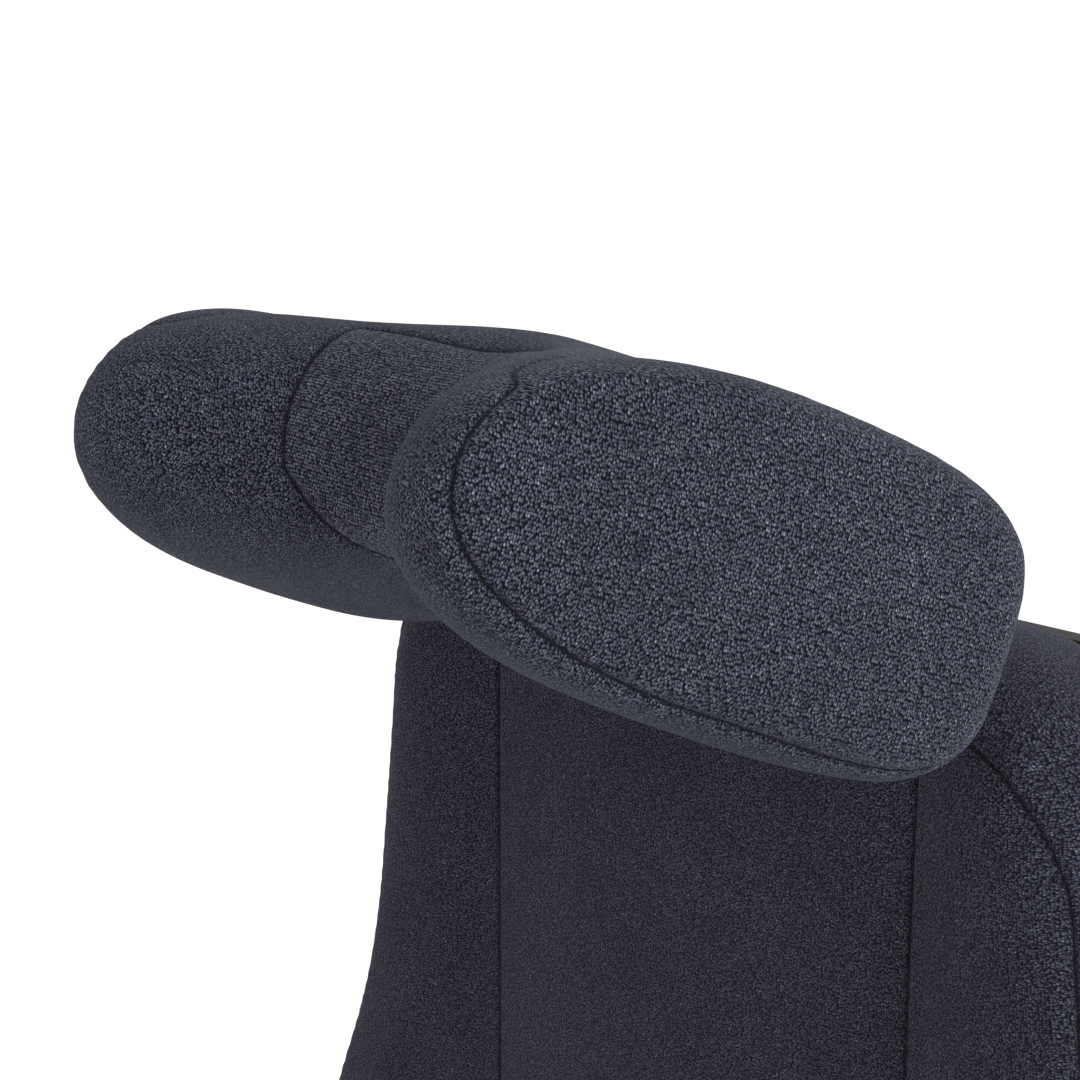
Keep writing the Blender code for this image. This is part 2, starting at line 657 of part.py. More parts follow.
def seat(slide, steel, board, fabric):
    screws = 0
    holes = []
    flange_centre = RAIL_CENTRE + RAIL_WIDTH / 2 + SEAT_GAP + CHANNEL_WALL + CHANNEL_FLANGE / 2
    for side in (-1, 1):
        for y in (SCREW_EDGE - CHANNEL_LENGTH / 2, CHANNEL_LENGTH / 2 - SCREW_EDGE):
            head_high = CHANNEL_TOP - CHANNEL_WALL - SEAT_GAP
            centre = (side * flange_centre, y)
            profile = [
                (SCREW_HEAD_RADIUS, head_high - SCREW_HEAD), (SCREW_HEAD_RADIUS, head_high),
                (SCREW_RADIUS, head_high), (SCREW_RADIUS, SHELL_LOW + SCREW_BITE),
            ]
            screws += 1
            screw = turned(profile, SMALL_SIDES, "Z", centre, ring=False)
            solid(f"seat_screw_{screws}", screw, steel, slide)
            bore_high = SHELL_LOW + SCREW_BITE + SEAT_GAP
            holes.append(rod(SCREW_RADIUS + SEAT_GAP, head_high, bore_high, SMALL_SIDES, "Z", centre))

    inner = RAIL_WIDTH / 2 + SEAT_GAP
    outer = inner + CHANNEL_WALL
    skirt = RAIL_LOW + RAIL_HEIGHT / 3
    under = RAIL_TOP + SEAT_GAP
    for side, name in ((-1, "left"), (1, "right")):
        section = [
            (-outer, skirt), (-inner, skirt), (-inner, under), (inner, under), (inner, skirt),
            (outer, skirt), (outer, under), (outer + CHANNEL_FLANGE, under),
            (outer + CHANNEL_FLANGE, CHANNEL_TOP), (-outer, CHANNEL_TOP),
        ]
        outline = [(side * (RAIL_CENTRE + a), b) for a, b in section]
        channel = prism(outline, -CHANNEL_LENGTH / 2, CHANNEL_LENGTH / 2, "Y")
        made = solid(f"seat_channel_{name}", channel, steel, slide)
        boolean(made, merged(holes), "DIFFERENCE", slide)

    outline = pad_outline(SEAT_FRONT, SEAT_BACK, seat_half_width, SEAT_CORNER, SEAT_CORNER)
    shell_shape = prism(inset(outline, SEAT_SHELL_INSET), SHELL_LOW, SHELL_TOP, "Z")
    shell = solid("seat_shell", shell_shape, board, slide)
    boolean(shell, merged(holes), "DIFFERENCE", slide)

    top = CUSHION_LOW + SEAT_CUSHION_HEIGHT
    layers = cushion_layers(CUSHION_LOW, top, SEAT_ROLL, SEAT_CROWN)

    def waterfall(x, y, z):
        share = (z - CUSHION_LOW) / SEAT_CUSHION_HEIGHT
        return z - share * SEAT_WATERFALL * smooth(y, SEAT_FRONT + SEAT_CORNER, SEAT_FRONT)

    solid("seat_cushion", padded(outline, layers, "Z", waterfall), fabric, slide)


def yoke(recline, steel):
    spread = degrees(asin(EAR_HALF_HEIGHT / EAR_RADIUS))
    ear = arc((SHAFT_Y, MECHANISM_Z), EAR_RADIUS, 180 - spread, 180 + spread, SMALL_SIDES)
    rear = CROSSBAR_Y + CROSSBAR_DEPTH
    ear += [(rear, MECHANISM_Z - EAR_HALF_HEIGHT), (rear, MECHANISM_Z + EAR_HALF_HEIGHT)]
    made = solid("back_yoke", prism(ear, EAR_INNER, EAR_OUTER, "X"), steel, recline)
    boolean(made, prism(ear, -EAR_OUTER, -EAR_INNER, "X"), "UNION", recline)
    crossbar = box(
        (-EAR_INNER - EAR_THICKNESS / 2, CROSSBAR_Y, MECHANISM_Z - EAR_HALF_HEIGHT + RUN_GAP),
        (EAR_INNER + EAR_THICKNESS / 2, rear - RUN_GAP, MECHANISM_Z + EAR_HALF_HEIGHT - RUN_GAP),
    )
    boolean(made, crossbar, "UNION", recline)

    half = BAR_THICKNESS / 2
    bend_centre = (BAR_CENTRE_Y - BAR_BEND, MECHANISM_Z + BAR_BEND)
    inner_line = [(CROSSBAR_Y + CROSSBAR_DEPTH / 2, MECHANISM_Z + half)]
    inner_line += arc(bend_centre, BAR_BEND - half, 270, 360, 8) + [(BAR_CENTRE_Y - half, BAR_TOP)]
    outer_line = [(CROSSBAR_Y + CROSSBAR_DEPTH / 2, MECHANISM_Z - half)]
    outer_line += arc(bend_centre, BAR_BEND + half, 270, 360, 8) + [(BAR_CENTRE_Y + half, BAR_TOP)]
    rings = []
    for low, high in zip(outer_line, inner_line):
        side = BAR_WIDTH / 2
        rings.append([(-side, *low), (side, *low), (side, *high), (-side, *high)])
    boolean(made, loft(rings), "UNION", recline)
    bore = rod(
        SHAFT_RADIUS + SEAT_GAP, -2 * EAR_OUTER, 2 * EAR_OUTER, ROUND_SIDES, "X", (SHAFT_Y, MECHANISM_Z),
    )
    boolean(made, bore, "DIFFERENCE", recline)


def back_flare(z):
    middle = BACK_TOP - BACK_FLARE_DROP
    return smooth(z, middle + BACK_FLARE_SPAN / 2, middle - BACK_FLARE_SPAN / 2)


def back_half_width(z):
    return (BACK_TOP_WIDTH + (BACK_LOW_WIDTH - BACK_TOP_WIDTH) * back_flare(z)) / 2


def wing_forward(x, z):
    # the pad's sides stand ahead of its middle, more so where it flares, and run out above its lower edge
    reach = WING_REACH + (WING_LOW_REACH - WING_REACH) * back_flare(z)
    rise = smooth(z, BACK_BOTTOM + BACK_ROLL, BACK_BOTTOM + BACK_LOW_CORNER + BACK_ROLL)
    return reach * rise * smooth(back_half_width(z) - abs(x), WING_WIDTH, BACK_ROLL)


def back(slide, steel, board, cover_plastic, fabric):
    outline = pad_outline(BACK_BOTTOM, BACK_TOP, back_half_width, BACK_LOW_CORNER, BACK_TOP_CORNER)
    screw_x = (CARRIER_WIDTH / 2 + BAR_WIDTH / 2 + SEAT_GAP) / 2
    screws = 0
    holes = []
    bite = CORE_REAR - SCREW_BITE
    for side in (-1, 1):
        for z in (CARRIER_LOW + SCREW_EDGE, CARRIER_TOP - SCREW_EDGE):
            seat_face = CARRIER_REAR + SEAT_GAP
            profile = [
                (SCREW_RADIUS, bite), (SCREW_RADIUS, seat_face),
                (SCREW_HEAD_RADIUS, seat_face), (SCREW_HEAD_RADIUS, seat_face + SCREW_HEAD),
            ]
            screws += 1
            screw = turned(profile, SMALL_SIDES, "Y", (side * screw_x, z), ring=False)
            solid(f"back_screw_{screws}", screw, steel, slide)
            bore = SCREW_RADIUS + SEAT_GAP
            holes.append(rod(bore, bite - SEAT_GAP, seat_face, SMALL_SIDES, "Y", (side * screw_x, z)))

    bar_side = BAR_WIDTH / 2 + SEAT_GAP
    carrier_box = box(
        (-CARRIER_WIDTH / 2, CARRIER_FRONT, CARRIER_LOW),
        (CARRIER_WIDTH / 2, CARRIER_REAR, CARRIER_TOP),
    )
    carrier = solid("back_carrier", carrier_box, cover_plastic, slide)
    slot = box(
        (-bar_side, BAR_FRONT - SEAT_GAP, CARRIER_LOW - CARRIER_WALL),
        (bar_side, BAR_FRONT + BAR_THICKNESS + SEAT_GAP, CARRIER_TOP + CARRIER_WALL),
    )
    boolean(carrier, slot, "DIFFERENCE", slide)
    boolean(carrier, merged(holes), "DIFFERENCE", slide)

    core = solid("back_core", prism(inset(outline, CORE_INSET), CORE_FRONT, CORE_REAR, "Y"), board, slide)
    boolean(core, merged(holes), "DIFFERENCE", slide)

    cover_shape = prism(inset(outline, COVER_INSET), COVER_FRONT, COVER_REAR, "Y")
    cover = solid("rear_cover", cover_shape, cover_plastic, slide)
    hollow = inset(outline, COVER_INSET + COVER_WALL)
    hollow_shape = prism(hollow, COVER_FRONT - COVER_WALL, COVER_REAR - COVER_WALL, "Y")
    boolean(cover, hollow_shape, "DIFFERENCE", slide)
    boolean(cover, merged(holes), "DIFFERENCE", slide)
    post_window = box(
        (-POST_WIDTH / 2 - RUN_GAP, POST_FRONT - RUN_GAP, BACK_TOP - COVER_INSET - 4 * COVER_WALL),
        (POST_WIDTH / 2 + RUN_GAP, POST_FRONT + POST_THICKNESS + RUN_GAP, BACK_TOP),
    )
    boolean(cover, post_window, "DIFFERENCE", slide)

    guide_side = POST_WIDTH / 2 + SEAT_GAP + GUIDE_WALL
    guide_high = GUIDE_LOW + GUIDE_HEIGHT
    guide_box = box((-guide_side, GUIDE_FRONT, GUIDE_LOW), (guide_side, GUIDE_REAR, guide_high))
    guide = solid("headrest_guide", guide_box, cover_plastic, slide)
    guide_slot = box(
        (-POST_WIDTH / 2 - SEAT_GAP, POST_FRONT - SEAT_GAP, GUIDE_LOW - GUIDE_WALL),
        (POST_WIDTH / 2 + SEAT_GAP, POST_FRONT + POST_THICKNESS + SEAT_GAP, GUIDE_LOW + 2 * GUIDE_HEIGHT),
    )
    boolean(guide, guide_slot, "DIFFERENCE", slide)

    layers = cushion_layers(PAD_REAR, PAD_FRONT, BACK_ROLL, BACK_CROWN)

    def wings(x, z, y):
        return y - wing_forward(x, z) * (PAD_REAR - y) / BACK_PAD_THICKNESS

    solid("back_cushion", padded(outline, layers, "Y", wings), fabric, slide)


def headrest_centre():
    # the middle of the headrest's section, in the pitched frame whose origin is the pin
    pitch = radians(HEADREST_PITCH)
    rearward = PAD_FRONT - HEADREST_AHEAD - POST_CENTRE_Y
    upward = HEADREST_ABOVE - PIN_RISE
    return rearward * cos(pitch) - upward * sin(pitch), rearward * sin(pitch) + upward * cos(pitch)


def headrest_stations():
    # shares of the half width from end to end, and how far the section draws in where the end rounds over
    flat = 1 - END_ROUND / HEADREST_HALF_WIDTH
    half = [(flat * k / SPAN_STEPS, 0.0) for k in range(SPAN_STEPS + 1)]
    for k in range(1, END_STEPS + 1):
        angle = radians(END_TURN) * k / END_STEPS
        half.append((flat + (1 - flat) * sin(angle), END_ROUND * (1 - cos(angle))))
    return list(reversed(half)) + [(-share, drawn_in) for share, drawn_in in half[1:]]


def squared(value, squareness):
    # sine or cosine of a section's turn, pushed out towards a square
    return abs(value) ** (2 / squareness) * (1 if value >= 0 else -1)


def headrest_cushion_shape():
    centre_y, centre_z = headrest_centre()
    rings = []
    for share, drawn_in in headrest_stations():
        span = abs(share)
        hollow = cos(min(span * HEADREST_HALF_WIDTH / HOLLOW_HALF, 1.0) * pi / 2) ** 2
        toe = span ** 3 * tan(radians(END_TOE))
        ring = []
        for k in range(PAD_SECTION):
            turn = 2 * pi * k / PAD_SECTION
            front = NOSE_SQUARENESS if sin(turn) >= 0 else CHIN_SQUARENESS
            squareness = front if cos(turn) > 0 else REAR_SQUARENESS
            ahead, up = squared(cos(turn), squareness), squared(sin(turn), squareness)
            nose = max(ahead, 0.0)
            height = HEADREST_UP + HOLLOW_RISE * hollow if up > 0 else HEADREST_DOWN
            reach = NOSE_REACH if ahead > 0 else REAR_REACH
            forward = ahead * (reach - drawn_in) - HOLLOW_DEPTH * hollow * nose
            x = span * HEADREST_HALF_WIDTH - toe * forward
            z = up * (height - drawn_in) - NOSE_DROP * nose
            ring.append((x if share >= 0 else -x, centre_y - forward, centre_z + z))
        rings.append(ring)
    return loft(rings)


def headrest(post_pivot, tilt, steel, fabric):
    shoulder = sqrt(EYE_RADIUS ** 2 - (POST_THICKNESS / 2) ** 2)
    lean = degrees(atan2(shoulder, POST_THICKNESS / 2))
    eye_centre = (POST_CENTRE_Y, PIN_HEIGHT)
    outline = [(POST_FRONT + POST_THICKNESS, POST_LOW)]
    outline += arc(eye_centre, EYE_RADIUS, -lean, 180 + lean, SMALL_SIDES)
    outline += [(POST_FRONT, POST_LOW)]
    post = solid("headrest_post", prism(outline, -POST_WIDTH / 2, POST_WIDTH / 2, "X"), steel, post_pivot)
    pin_bore = rod(PIN_RADIUS + SEAT_GAP, -POST_WIDTH, POST_WIDTH, SMALL_SIDES, "X", eye_centre)
    boolean(post, pin_bore, "DIFFERENCE", post_pivot)

    centre_y, centre_z = headrest_centre()
    plate_front = centre_y + REAR_REACH - RECESS_DEPTH
    plate_rear = plate_front + BRACKET_PLATE
    plate_mid = centre_z + PLATE_RAISE
    plate_low = plate_mid - PLATE_HALF_HEIGHT
    plate_high = plate_mid + PLATE_HALF_HEIGHT
    plate = box((-PLATE_HALF_WIDTH, plate_front, plate_low), (PLATE_HALF_WIDTH, plate_rear, plate_high))
    bracket = solid("headrest_bracket", plate, steel, tilt, True)
    root_y = plate_front + BRACKET_PLATE / 2
    away = degrees(atan2(-plate_mid, -root_y))
    lug = arc((0.0, 0.0), LUG_RADIUS, away - 90, away + 90, SMALL_SIDES)
    lug += [(root_y, plate_mid + LUG_ROOT_HALF), (root_y, plate_mid - LUG_ROOT_HALF)]
    lug_inner = POST_WIDTH / 2 + SEAT_GAP
    lug_outer = lug_inner + LUG_THICKNESS
    boolean(bracket, prism(lug, lug_inner, lug_outer, "X"), "UNION", tilt, True)
    boolean(bracket, prism(lug, -lug_outer, -lug_inner, "X"), "UNION", tilt, True)
    lug_bore = rod(PIN_RADIUS + SEAT_GAP, -2 * lug_outer, 2 * lug_outer, SMALL_SIDES, "X")
    boolean(bracket, lug_bore, "DIFFERENCE", tilt, True)
    pin_end = lug_outer + PIN_RADIUS
    solid("headrest_pin", rod(PIN_RADIUS, -pin_end, pin_end, SMALL_SIDES, "X"), steel, tilt, True)

    cushion = solid("headrest_cushion", headrest_cushion_shape(), fabric, tilt, True)
    recess = box(
        (-PLATE_HALF_WIDTH - SEAT_GAP, plate_front - SEAT_GAP, plate_low - SEAT_GAP),
        (PLATE_HALF_WIDTH + SEAT_GAP, plate_front + REAR_REACH, plate_high + SEAT_GAP),
    )
    boolean(cushion, recess, "DIFFERENCE", tilt, True)


def centre_on_floor(root):
    # the origin goes under the middle of the finished chair, on the floor
    bpy.context.view_layer.update()
    graph = bpy.context.evaluated_depsgraph_get()
    corners = []
    for made in bpy.context.scene.objects:
        if made.type == "MESH" and not made.hide_render:
            corners += [made.matrix_world @ Vector(c) for c in made.evaluated_get(graph).bound_box]
    for axis in (0, 1):
        root.location[axis] -= (min(c[axis] for c in corners) + max(c[axis] for c in corners)) / 2
    root.location[2] -= min(c[2] for c in corners)
    bpy.context.view_layer.update()


def main():
    for old in list(bpy.data.objects):
        bpy.data.objects.remove(old, do_unlink=True)

    plastic = finish("black plastic", (0.018, 0.018, 0.020), 0.45)
    tread = finish("grey tread", (0.060, 0.060, 0.065), 0.60)
    cast = finish("dark casting", (0.030, 0.030, 0.033), 0.50, 0.4)
    painted = finish("black painted steel", (0.022, 0.022, 0.024), 0.40, 0.3)
    steel = finish("plain steel", (0.45, 0.45, 0.46), 0.35, 1.0)
    chrome = finish("chromed steel", (0.70, 0.70, 0.72), 0.12, 1.0)
    board = finish("moulded board", (0.120, 0.095, 0.070), 0.70)
    rubber = finish("black rubber", (0.015, 0.015, 0.015), 0.80)
    fabric = finish("slate navy fabric", (0.042, 0.045, 0.063), 0.95)

    root = pivot("chair", (0.0, 0.0, 0.0))
    star_base(root, plastic)
    for index in range(ARM_COUNT):
        castor(index, root, plastic, steel, tread)
    lift = pivot("lift", (0.0, 0.0, BOSS_LOW), root)
    column(root, lift, painted, chrome, plastic)

    frame = pivot("seat_frame", (0.0, 0.0, 0.0), lift)
    raised = MECHANISM_Z - BOSS_LOW
    wall_middle = HOUSING_SIDE - HOUSING_WALL / 2
    lever_pivot = pivot("lift_lever_pivot", (-wall_middle, LEVER_Y, raised), frame)
    tilt_pivot = pivot("tilt_lever_pivot", (wall_middle, TILT_LEVER_Y, raised), frame)
    knob_pivot = pivot("tension_knob_pivot", (0.0, HOUSING_FRONT, raised), frame)
    tilt_unit(frame, lever_pivot, tilt_pivot, knob_pivot, cast, steel, rubber, plastic)
    slide = pivot("seat_slide", (0.0, 0.0, SHELL_LOW - BOSS_LOW), frame)
    seat(slide, steel, board, fabric)

    recline = pivot("recline", (0.0, SHAFT_Y, raised), frame)
    yoke(recline, painted)
    back_slide = pivot("back_slide", (0.0, BAR_CENTRE_Y - SHAFT_Y, CARRIER_LOW - MECHANISM_Z), recline)
    back(back_slide, steel, board, plastic, fabric)
    post_pivot = pivot(
        "headrest_slide", (0.0, POST_CENTRE_Y - BAR_CENTRE_Y, PIN_HEIGHT - CARRIER_LOW), back_slide,
    )
    tilt = pivot("headrest_tilt", (0.0, 0.0, 0.0), post_pivot, (-radians(HEADREST_PITCH), 0.0, 0.0))
    headrest(post_pivot, tilt, painted, fabric)
    centre_on_floor(root)


main()
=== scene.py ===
import json
import math

import bmesh
import bpy
import numpy as np
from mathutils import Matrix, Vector
from mathutils.bvhtree import BVHTree
from mathutils.interpolate import poly_3d_calc
from mathutils.kdtree import KDTree


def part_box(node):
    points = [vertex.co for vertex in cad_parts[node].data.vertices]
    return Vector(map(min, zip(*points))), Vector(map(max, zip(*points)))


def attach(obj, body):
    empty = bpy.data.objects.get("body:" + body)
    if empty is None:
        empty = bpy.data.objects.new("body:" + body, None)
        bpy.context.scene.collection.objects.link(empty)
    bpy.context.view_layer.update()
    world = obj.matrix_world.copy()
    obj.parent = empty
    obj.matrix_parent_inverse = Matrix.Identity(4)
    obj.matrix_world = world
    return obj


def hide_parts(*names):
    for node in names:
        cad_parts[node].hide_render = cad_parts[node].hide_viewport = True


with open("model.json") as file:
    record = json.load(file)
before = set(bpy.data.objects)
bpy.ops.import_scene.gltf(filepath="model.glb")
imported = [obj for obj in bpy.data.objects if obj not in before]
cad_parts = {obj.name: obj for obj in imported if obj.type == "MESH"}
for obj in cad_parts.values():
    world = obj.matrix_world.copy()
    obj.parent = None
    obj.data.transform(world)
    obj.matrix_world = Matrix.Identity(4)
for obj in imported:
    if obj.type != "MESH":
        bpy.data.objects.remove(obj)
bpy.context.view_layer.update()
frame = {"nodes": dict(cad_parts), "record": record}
cadNodes = frame["nodes"]
print("frame:", len(cadNodes), "nodes")


def startMaterial(name):
    material = bpy.data.materials.new(name)
    material.use_nodes = True
    tree = material.node_tree
    shader = next(n for n in tree.nodes if n.type == "BSDF_PRINCIPLED")
    return material, tree, shader


def feed(tree, node, inputs):
    for key, value in inputs.items():
        socket = node.inputs[key]
        if isinstance(value, bpy.types.NodeSocket):
            tree.links.new(value, socket)
        else:
            socket.default_value = value


def addNode(tree, kind, settings=None, inputs=None):
    node = tree.nodes.new("ShaderNode" + kind)
    for key, value in (settings or {}).items():
        setattr(node, key, value)
    feed(tree, node, inputs or {})
    return node


def addRamp(tree, source, stops):
    ramp = addNode(tree, "ValToRGB", inputs={"Fac": source})
    band = ramp.color_ramp.elements
    while len(band) < len(stops):
        band.new(0.5)
    for slot, (place, colour) in zip(band, stops):
        slot.position = place
        slot.color = (*colour, 1.0)
    return ramp.outputs["Color"]


def mixColour(tree, share, first, second):
    # sockets 6 and 7 are the two colours of a Mix node, and its output 2 is the mixed one
    return addNode(tree, "Mix", {"data_type": "RGBA"}, {0: share, 6: first, 7: second}).outputs[2]


def addMath(tree, operation, first, second=0.0):
    return addNode(tree, "Math", {"operation": operation}, {0: first, 1: second}).outputs[0]


def addRange(tree, value, source, target, smooth=False):
    kind = "SMOOTHSTEP" if smooth else "LINEAR"
    limits = {"From Min": source[0], "From Max": source[1], "To Min": target[0], "To Max": target[1]}
    return addNode(tree, "MapRange", {"interpolation_type": kind}, {"Value": value, **limits}).outputs[0]


noiseSpan = (0.3, 0.7)                        # where most values of a noise texture lie

crepe = {
    "grain": (0.00068, 0.00118),              # one grain of the crepe across and along the weave, metres
    "lean": -18.0,
    "scatter": 0.78,
    "wander": 0.0004, "wanderScale": 300.0,   # how far the grains stray from their rows, and how often
    "dome": (0.12, 0.62),                     # from the crest of a grain to its foot, in grains; the colour darkens towards the foot as painted shade
    "rows": 0.07,                             # how much darker the gap between two rows is, as painted shade
    # painted shade in the gaps between grains
    "dark": (0.0026, 0.0028, 0.0058),
    "light": (0.066, 0.071, 0.103),
    "warm": (0.090, 0.090, 0.108),            # the paler yarn in some grains
    "yarnStops": (0.55, 0.8),                 # grains below the first are light, above the second warm
    "spread": (0.35, 1.55),                   # darkest and brightest grain against the mean
    "fleck": 1.6, "fleckFrom": 0.93,          # extra light on the few palest grains
    "cloud": 0.045, "cloudTone": (0.86, 1.14),    # width and tone of the melange's soft patches
    "fibreScale": 2400.0, "fibreTone": (0.8, 1.2),
    "seamShade": (0.0025, 0.0025, 0.004, 1.0),   # painted shade in the depth of a seam
    "relief": 0.0004,
    "reliefStrength": 0.6,
    "rough": 0.95, "shine": 0.10,
    "sheen": 0.08, "sheenRough": 0.5,
    "sheenTint": (0.75, 0.80, 1.0, 1.0),
}


def crepeCloth(name, change=None):
    look = {**crepe, **(change or {})}
    material, tree, shader = startMaterial(name)
    weave = addNode(tree, "UVMap", {"uv_map": "weave"}).outputs[0]
    place = addNode(tree, "TexCoord").outputs["Object"]
    wander = addNode(tree, "TexNoise", inputs={"Vector": weave, "Scale": look["wanderScale"], "Detail": 1.0})
    drift = addNode(tree, "VectorMath", {"operation": "MULTIPLY_ADD"},
                    {0: wander.outputs["Color"], 1: (look["wander"],) * 3, 2: weave})
    laid = addNode(tree, "Mapping", {"vector_type": "TEXTURE"},
                   {"Vector": drift.outputs[0], "Rotation": (0.0, 0.0, math.radians(look["lean"])),
                    "Scale": (*look["grain"], 1.0)})
    cell = addNode(tree, "TexVoronoi", {"feature": "F1", "voronoi_dimensions": "2D"},
                   {"Vector": laid.outputs[0], "Scale": 1.0, "Randomness": look["scatter"]})
    chance = addNode(tree, "SeparateColor", inputs={"Color": cell.outputs["Color"]})
    dome = addRange(tree, cell.outputs["Distance"], look["dome"], (1.0, 0.0), True)
    mean = addRange(tree, chance.outputs[0], (0.0, 1.0), look["spread"])
    fleck = addRange(tree, chance.outputs[2], (look["fleckFrom"], 1.0), (0.0, look["fleck"]))
    tone = addMath(tree, "ADD", mean, fleck)
    fibre = addNode(tree, "TexNoise", inputs={"Vector": weave, "Scale": look["fibreScale"], "Detail": 1.0})
    cloud = addNode(tree, "TexNoise", inputs={"Vector": place, "Scale": 1.0 / look["cloud"], "Detail": 3.0})
    patch = addMath(tree, "MULTIPLY", addRange(tree, cloud.outputs["Fac"], noiseSpan, look["cloudTone"]),
                    addRange(tree, fibre.outputs["Fac"], noiseSpan, look["fibreTone"]))
    # painted shade: each grain darkens towards its foot, and further on in the gaps between rows
    lit = addMath(tree, "MULTIPLY", addMath(tree, "MULTIPLY", dome, tone), patch)
    across = addNode(tree, "SeparateXYZ", inputs={0: laid.outputs[0]}).outputs[1]
    turn = addMath(tree, "MULTIPLY", addMath(tree, "SUBTRACT", across, 0.5), 2.0 * math.pi)
    wave = addMath(tree, "COSINE", turn)
    rows = addRange(tree, wave, (-1.0, 1.0), (1.0 - look["rows"], 1.0 + look["rows"]))
    lit = addMath(tree, "MULTIPLY", lit, rows)
    yarn = addRamp(tree, chance.outputs[1], list(zip(look["yarnStops"], (look["light"], look["warm"]))))
    colour = mixColour(tree, lit, (*look["dark"], 1.0), yarn)
    colour.node.clamp_factor = False
    # painted shade along each seam, mixed in by the seam mark
    seam = addNode(tree, "Attribute", {"attribute_name": "seam"})
    colour = mixColour(tree, seam.outputs["Fac"], colour, look["seamShade"])
    bump = addNode(tree, "Bump", inputs={"Height": dome, "Distance": look["relief"],
                                         "Strength": look["reliefStrength"]})
    feed(tree, shader, {
        "Base Color": colour, "Normal": bump.outputs[0], "Roughness": look["rough"],
        "Specular IOR Level": look["shine"], "Sheen Weight": look["sheen"],
        "Sheen Roughness": look["sheenRough"], "Sheen Tint": look["sheenTint"]})
    return material


def smoothStep(value, low, high):
    share = np.clip((value - low) / (high - low), 0.0, 1.0)
    return share * share * (3.0 - 2.0 * share)


def evenLine(points, step):
    points = np.asarray(points, float)
    run = np.concatenate([[0.0], np.cumsum(np.linalg.norm(np.diff(points, axis=0), axis=1))])
    at = np.linspace(0.0, run[-1], max(2, int(run[-1] / step) + 1))
    return np.stack([np.interp(at, run, points[:, k]) for k in range(points.shape[1])], 1)


def softLine(points, step, rounds=3):
    points = np.asarray(points, float)
    for _ in range(rounds):                   # cuts the corners of a rough line
        cut = np.empty((2 * len(points), points.shape[1]))
        cut[0], cut[-1] = points[0], points[-1]
        cut[1:-1:2] = 0.75 * points[:-1] + 0.25 * points[1:]
        cut[2:-1:2] = 0.25 * points[:-1] + 0.75 * points[1:]
        points = cut
    return evenLine(points, step)


def insetLoop(side, inset):
    # the right side and its mirror as one loop, moved inwards
    loop = np.concatenate([side, side[::-1] * (-1.0, 1.0)])
    run = np.roll(loop, -1, 0) - np.roll(loop, 1, 0)
    run /= np.maximum(np.linalg.norm(run, axis=1, keepdims=True), 1e-9)
    return loop + np.stack([-run[:, 1], run[:, 0]], 1) * inset


rim = {
    "endShare": 0.93,                         # half width of the first and last point against its neighbour
    "tuckShare": 0.35, "tuckDepth": 0.006,    # the pad's rear edge, drawn in under its rim
    "rollStep": 9,                            # degrees
}


def roundedLoop(ends, corners, halfAt, inset, count):
    # an outline from its half width, with rounded corners and points that crowd towards its two ends
    low, high = ends
    at = low + (high - low) * (0.5 - 0.5 * np.cos(np.linspace(0.0, math.pi, count)))
    half = halfAt(at)
    for corner, edge in ((corners[1], high - at), (corners[0], at - low)):
        into = np.clip(corner - edge, 0.0, corner)
        half = half - (corner - np.sqrt(np.maximum(corner ** 2 - into ** 2, 0.0)))
    half[0], half[-1] = half[1] * rim["endShare"], half[-2] * rim["endShare"]
    return insetLoop(np.stack([half, at], 1), inset)


def rimProfile(pad, thick, stretch=1.0):
    # inset and depth, from the tucked rear edge over the side to the end of the rolled rim
    roll = pad["roll"]
    profile = [(pad["tuck"], 0.0), (pad["tuck"] * rim["tuckShare"], rim["tuckDepth"]), (0.0, thick - roll)]
    for a in np.radians(np.arange(rim["rollStep"], 91, rim["rollStep"])):
        profile.append((roll * (1 - math.cos(a)) * stretch, thick - roll + roll * math.sin(a)))
    return profile


def only(piece):
    bpy.ops.object.select_all(action="DESELECT")
    piece.select_set(True)
    bpy.context.view_layer.objects.active = piece


def ringsObject(name, rings):
    rings = np.asarray(rings, float)
    count, around = rings.shape[:2]
    verts = [tuple(p) for p in rings.reshape(-1, 3)]
    faces = []
    for i in range(count - 1):
        for j in range(around):
            k = (j + 1) % around
            faces.append((i * around + j, i * around + k, (i + 1) * around + k, (i + 1) * around + j))
    for first, flip in ((0, True), ((count - 1) * around, False)):
        middle = len(verts)
        verts.append(tuple(np.mean(verts[first:first + around], axis=0)))
        for j in range(around):
            k = (j + 1) % around
            faces.append((first + k, first + j, middle) if flip else (first + j, first + k, middle))
    mesh = bpy.data.meshes.new(name)
    mesh.from_pydata(verts, [], faces)
    mesh.update()
    piece = bpy.data.objects.new(name, mesh)
    bpy.context.scene.collection.objects.link(piece)
    only(piece)
    bpy.ops.object.mode_set(mode="EDIT")
    bpy.ops.mesh.select_all(action="SELECT")
    bpy.ops.mesh.normals_make_consistent(inside=False)
    bpy.ops.object.mode_set(mode="OBJECT")
    return piece


def applyModifier(piece, kind, **settings):
    only(piece)
    modifier = piece.modifiers.new(kind.lower(), kind)
    for key, value in settings.items():
        setattr(modifier, key, value)
    bpy.ops.object.modifier_apply(modifier=modifier.name)


def places(mesh):
    co = np.empty(len(mesh.vertices) * 3)
    mesh.vertices.foreach_get("co", co)
    return co.reshape(-1, 3)


def setPlaces(mesh, co):
    mesh.vertices.foreach_set("co", np.ascontiguousarray(co, float).ravel())
    mesh.update()


def vertexNormals(mesh):
    normal = np.empty(len(mesh.vertices) * 3, np.float32)
    mesh.vertex_normals.foreach_get("vector", normal)
    return normal.reshape(-1, 3).astype(float)


def pointTree(points):
    tree = KDTree(len(points))
    for i, p in enumerate(points):
        tree.insert(p, i)
    tree.balance()
    return tree


def seamDistance(co, tree):
    found = [tree.find(p) for p in co]
    return np.array([f[2] for f in found]), np.array([f[1] for f in found])


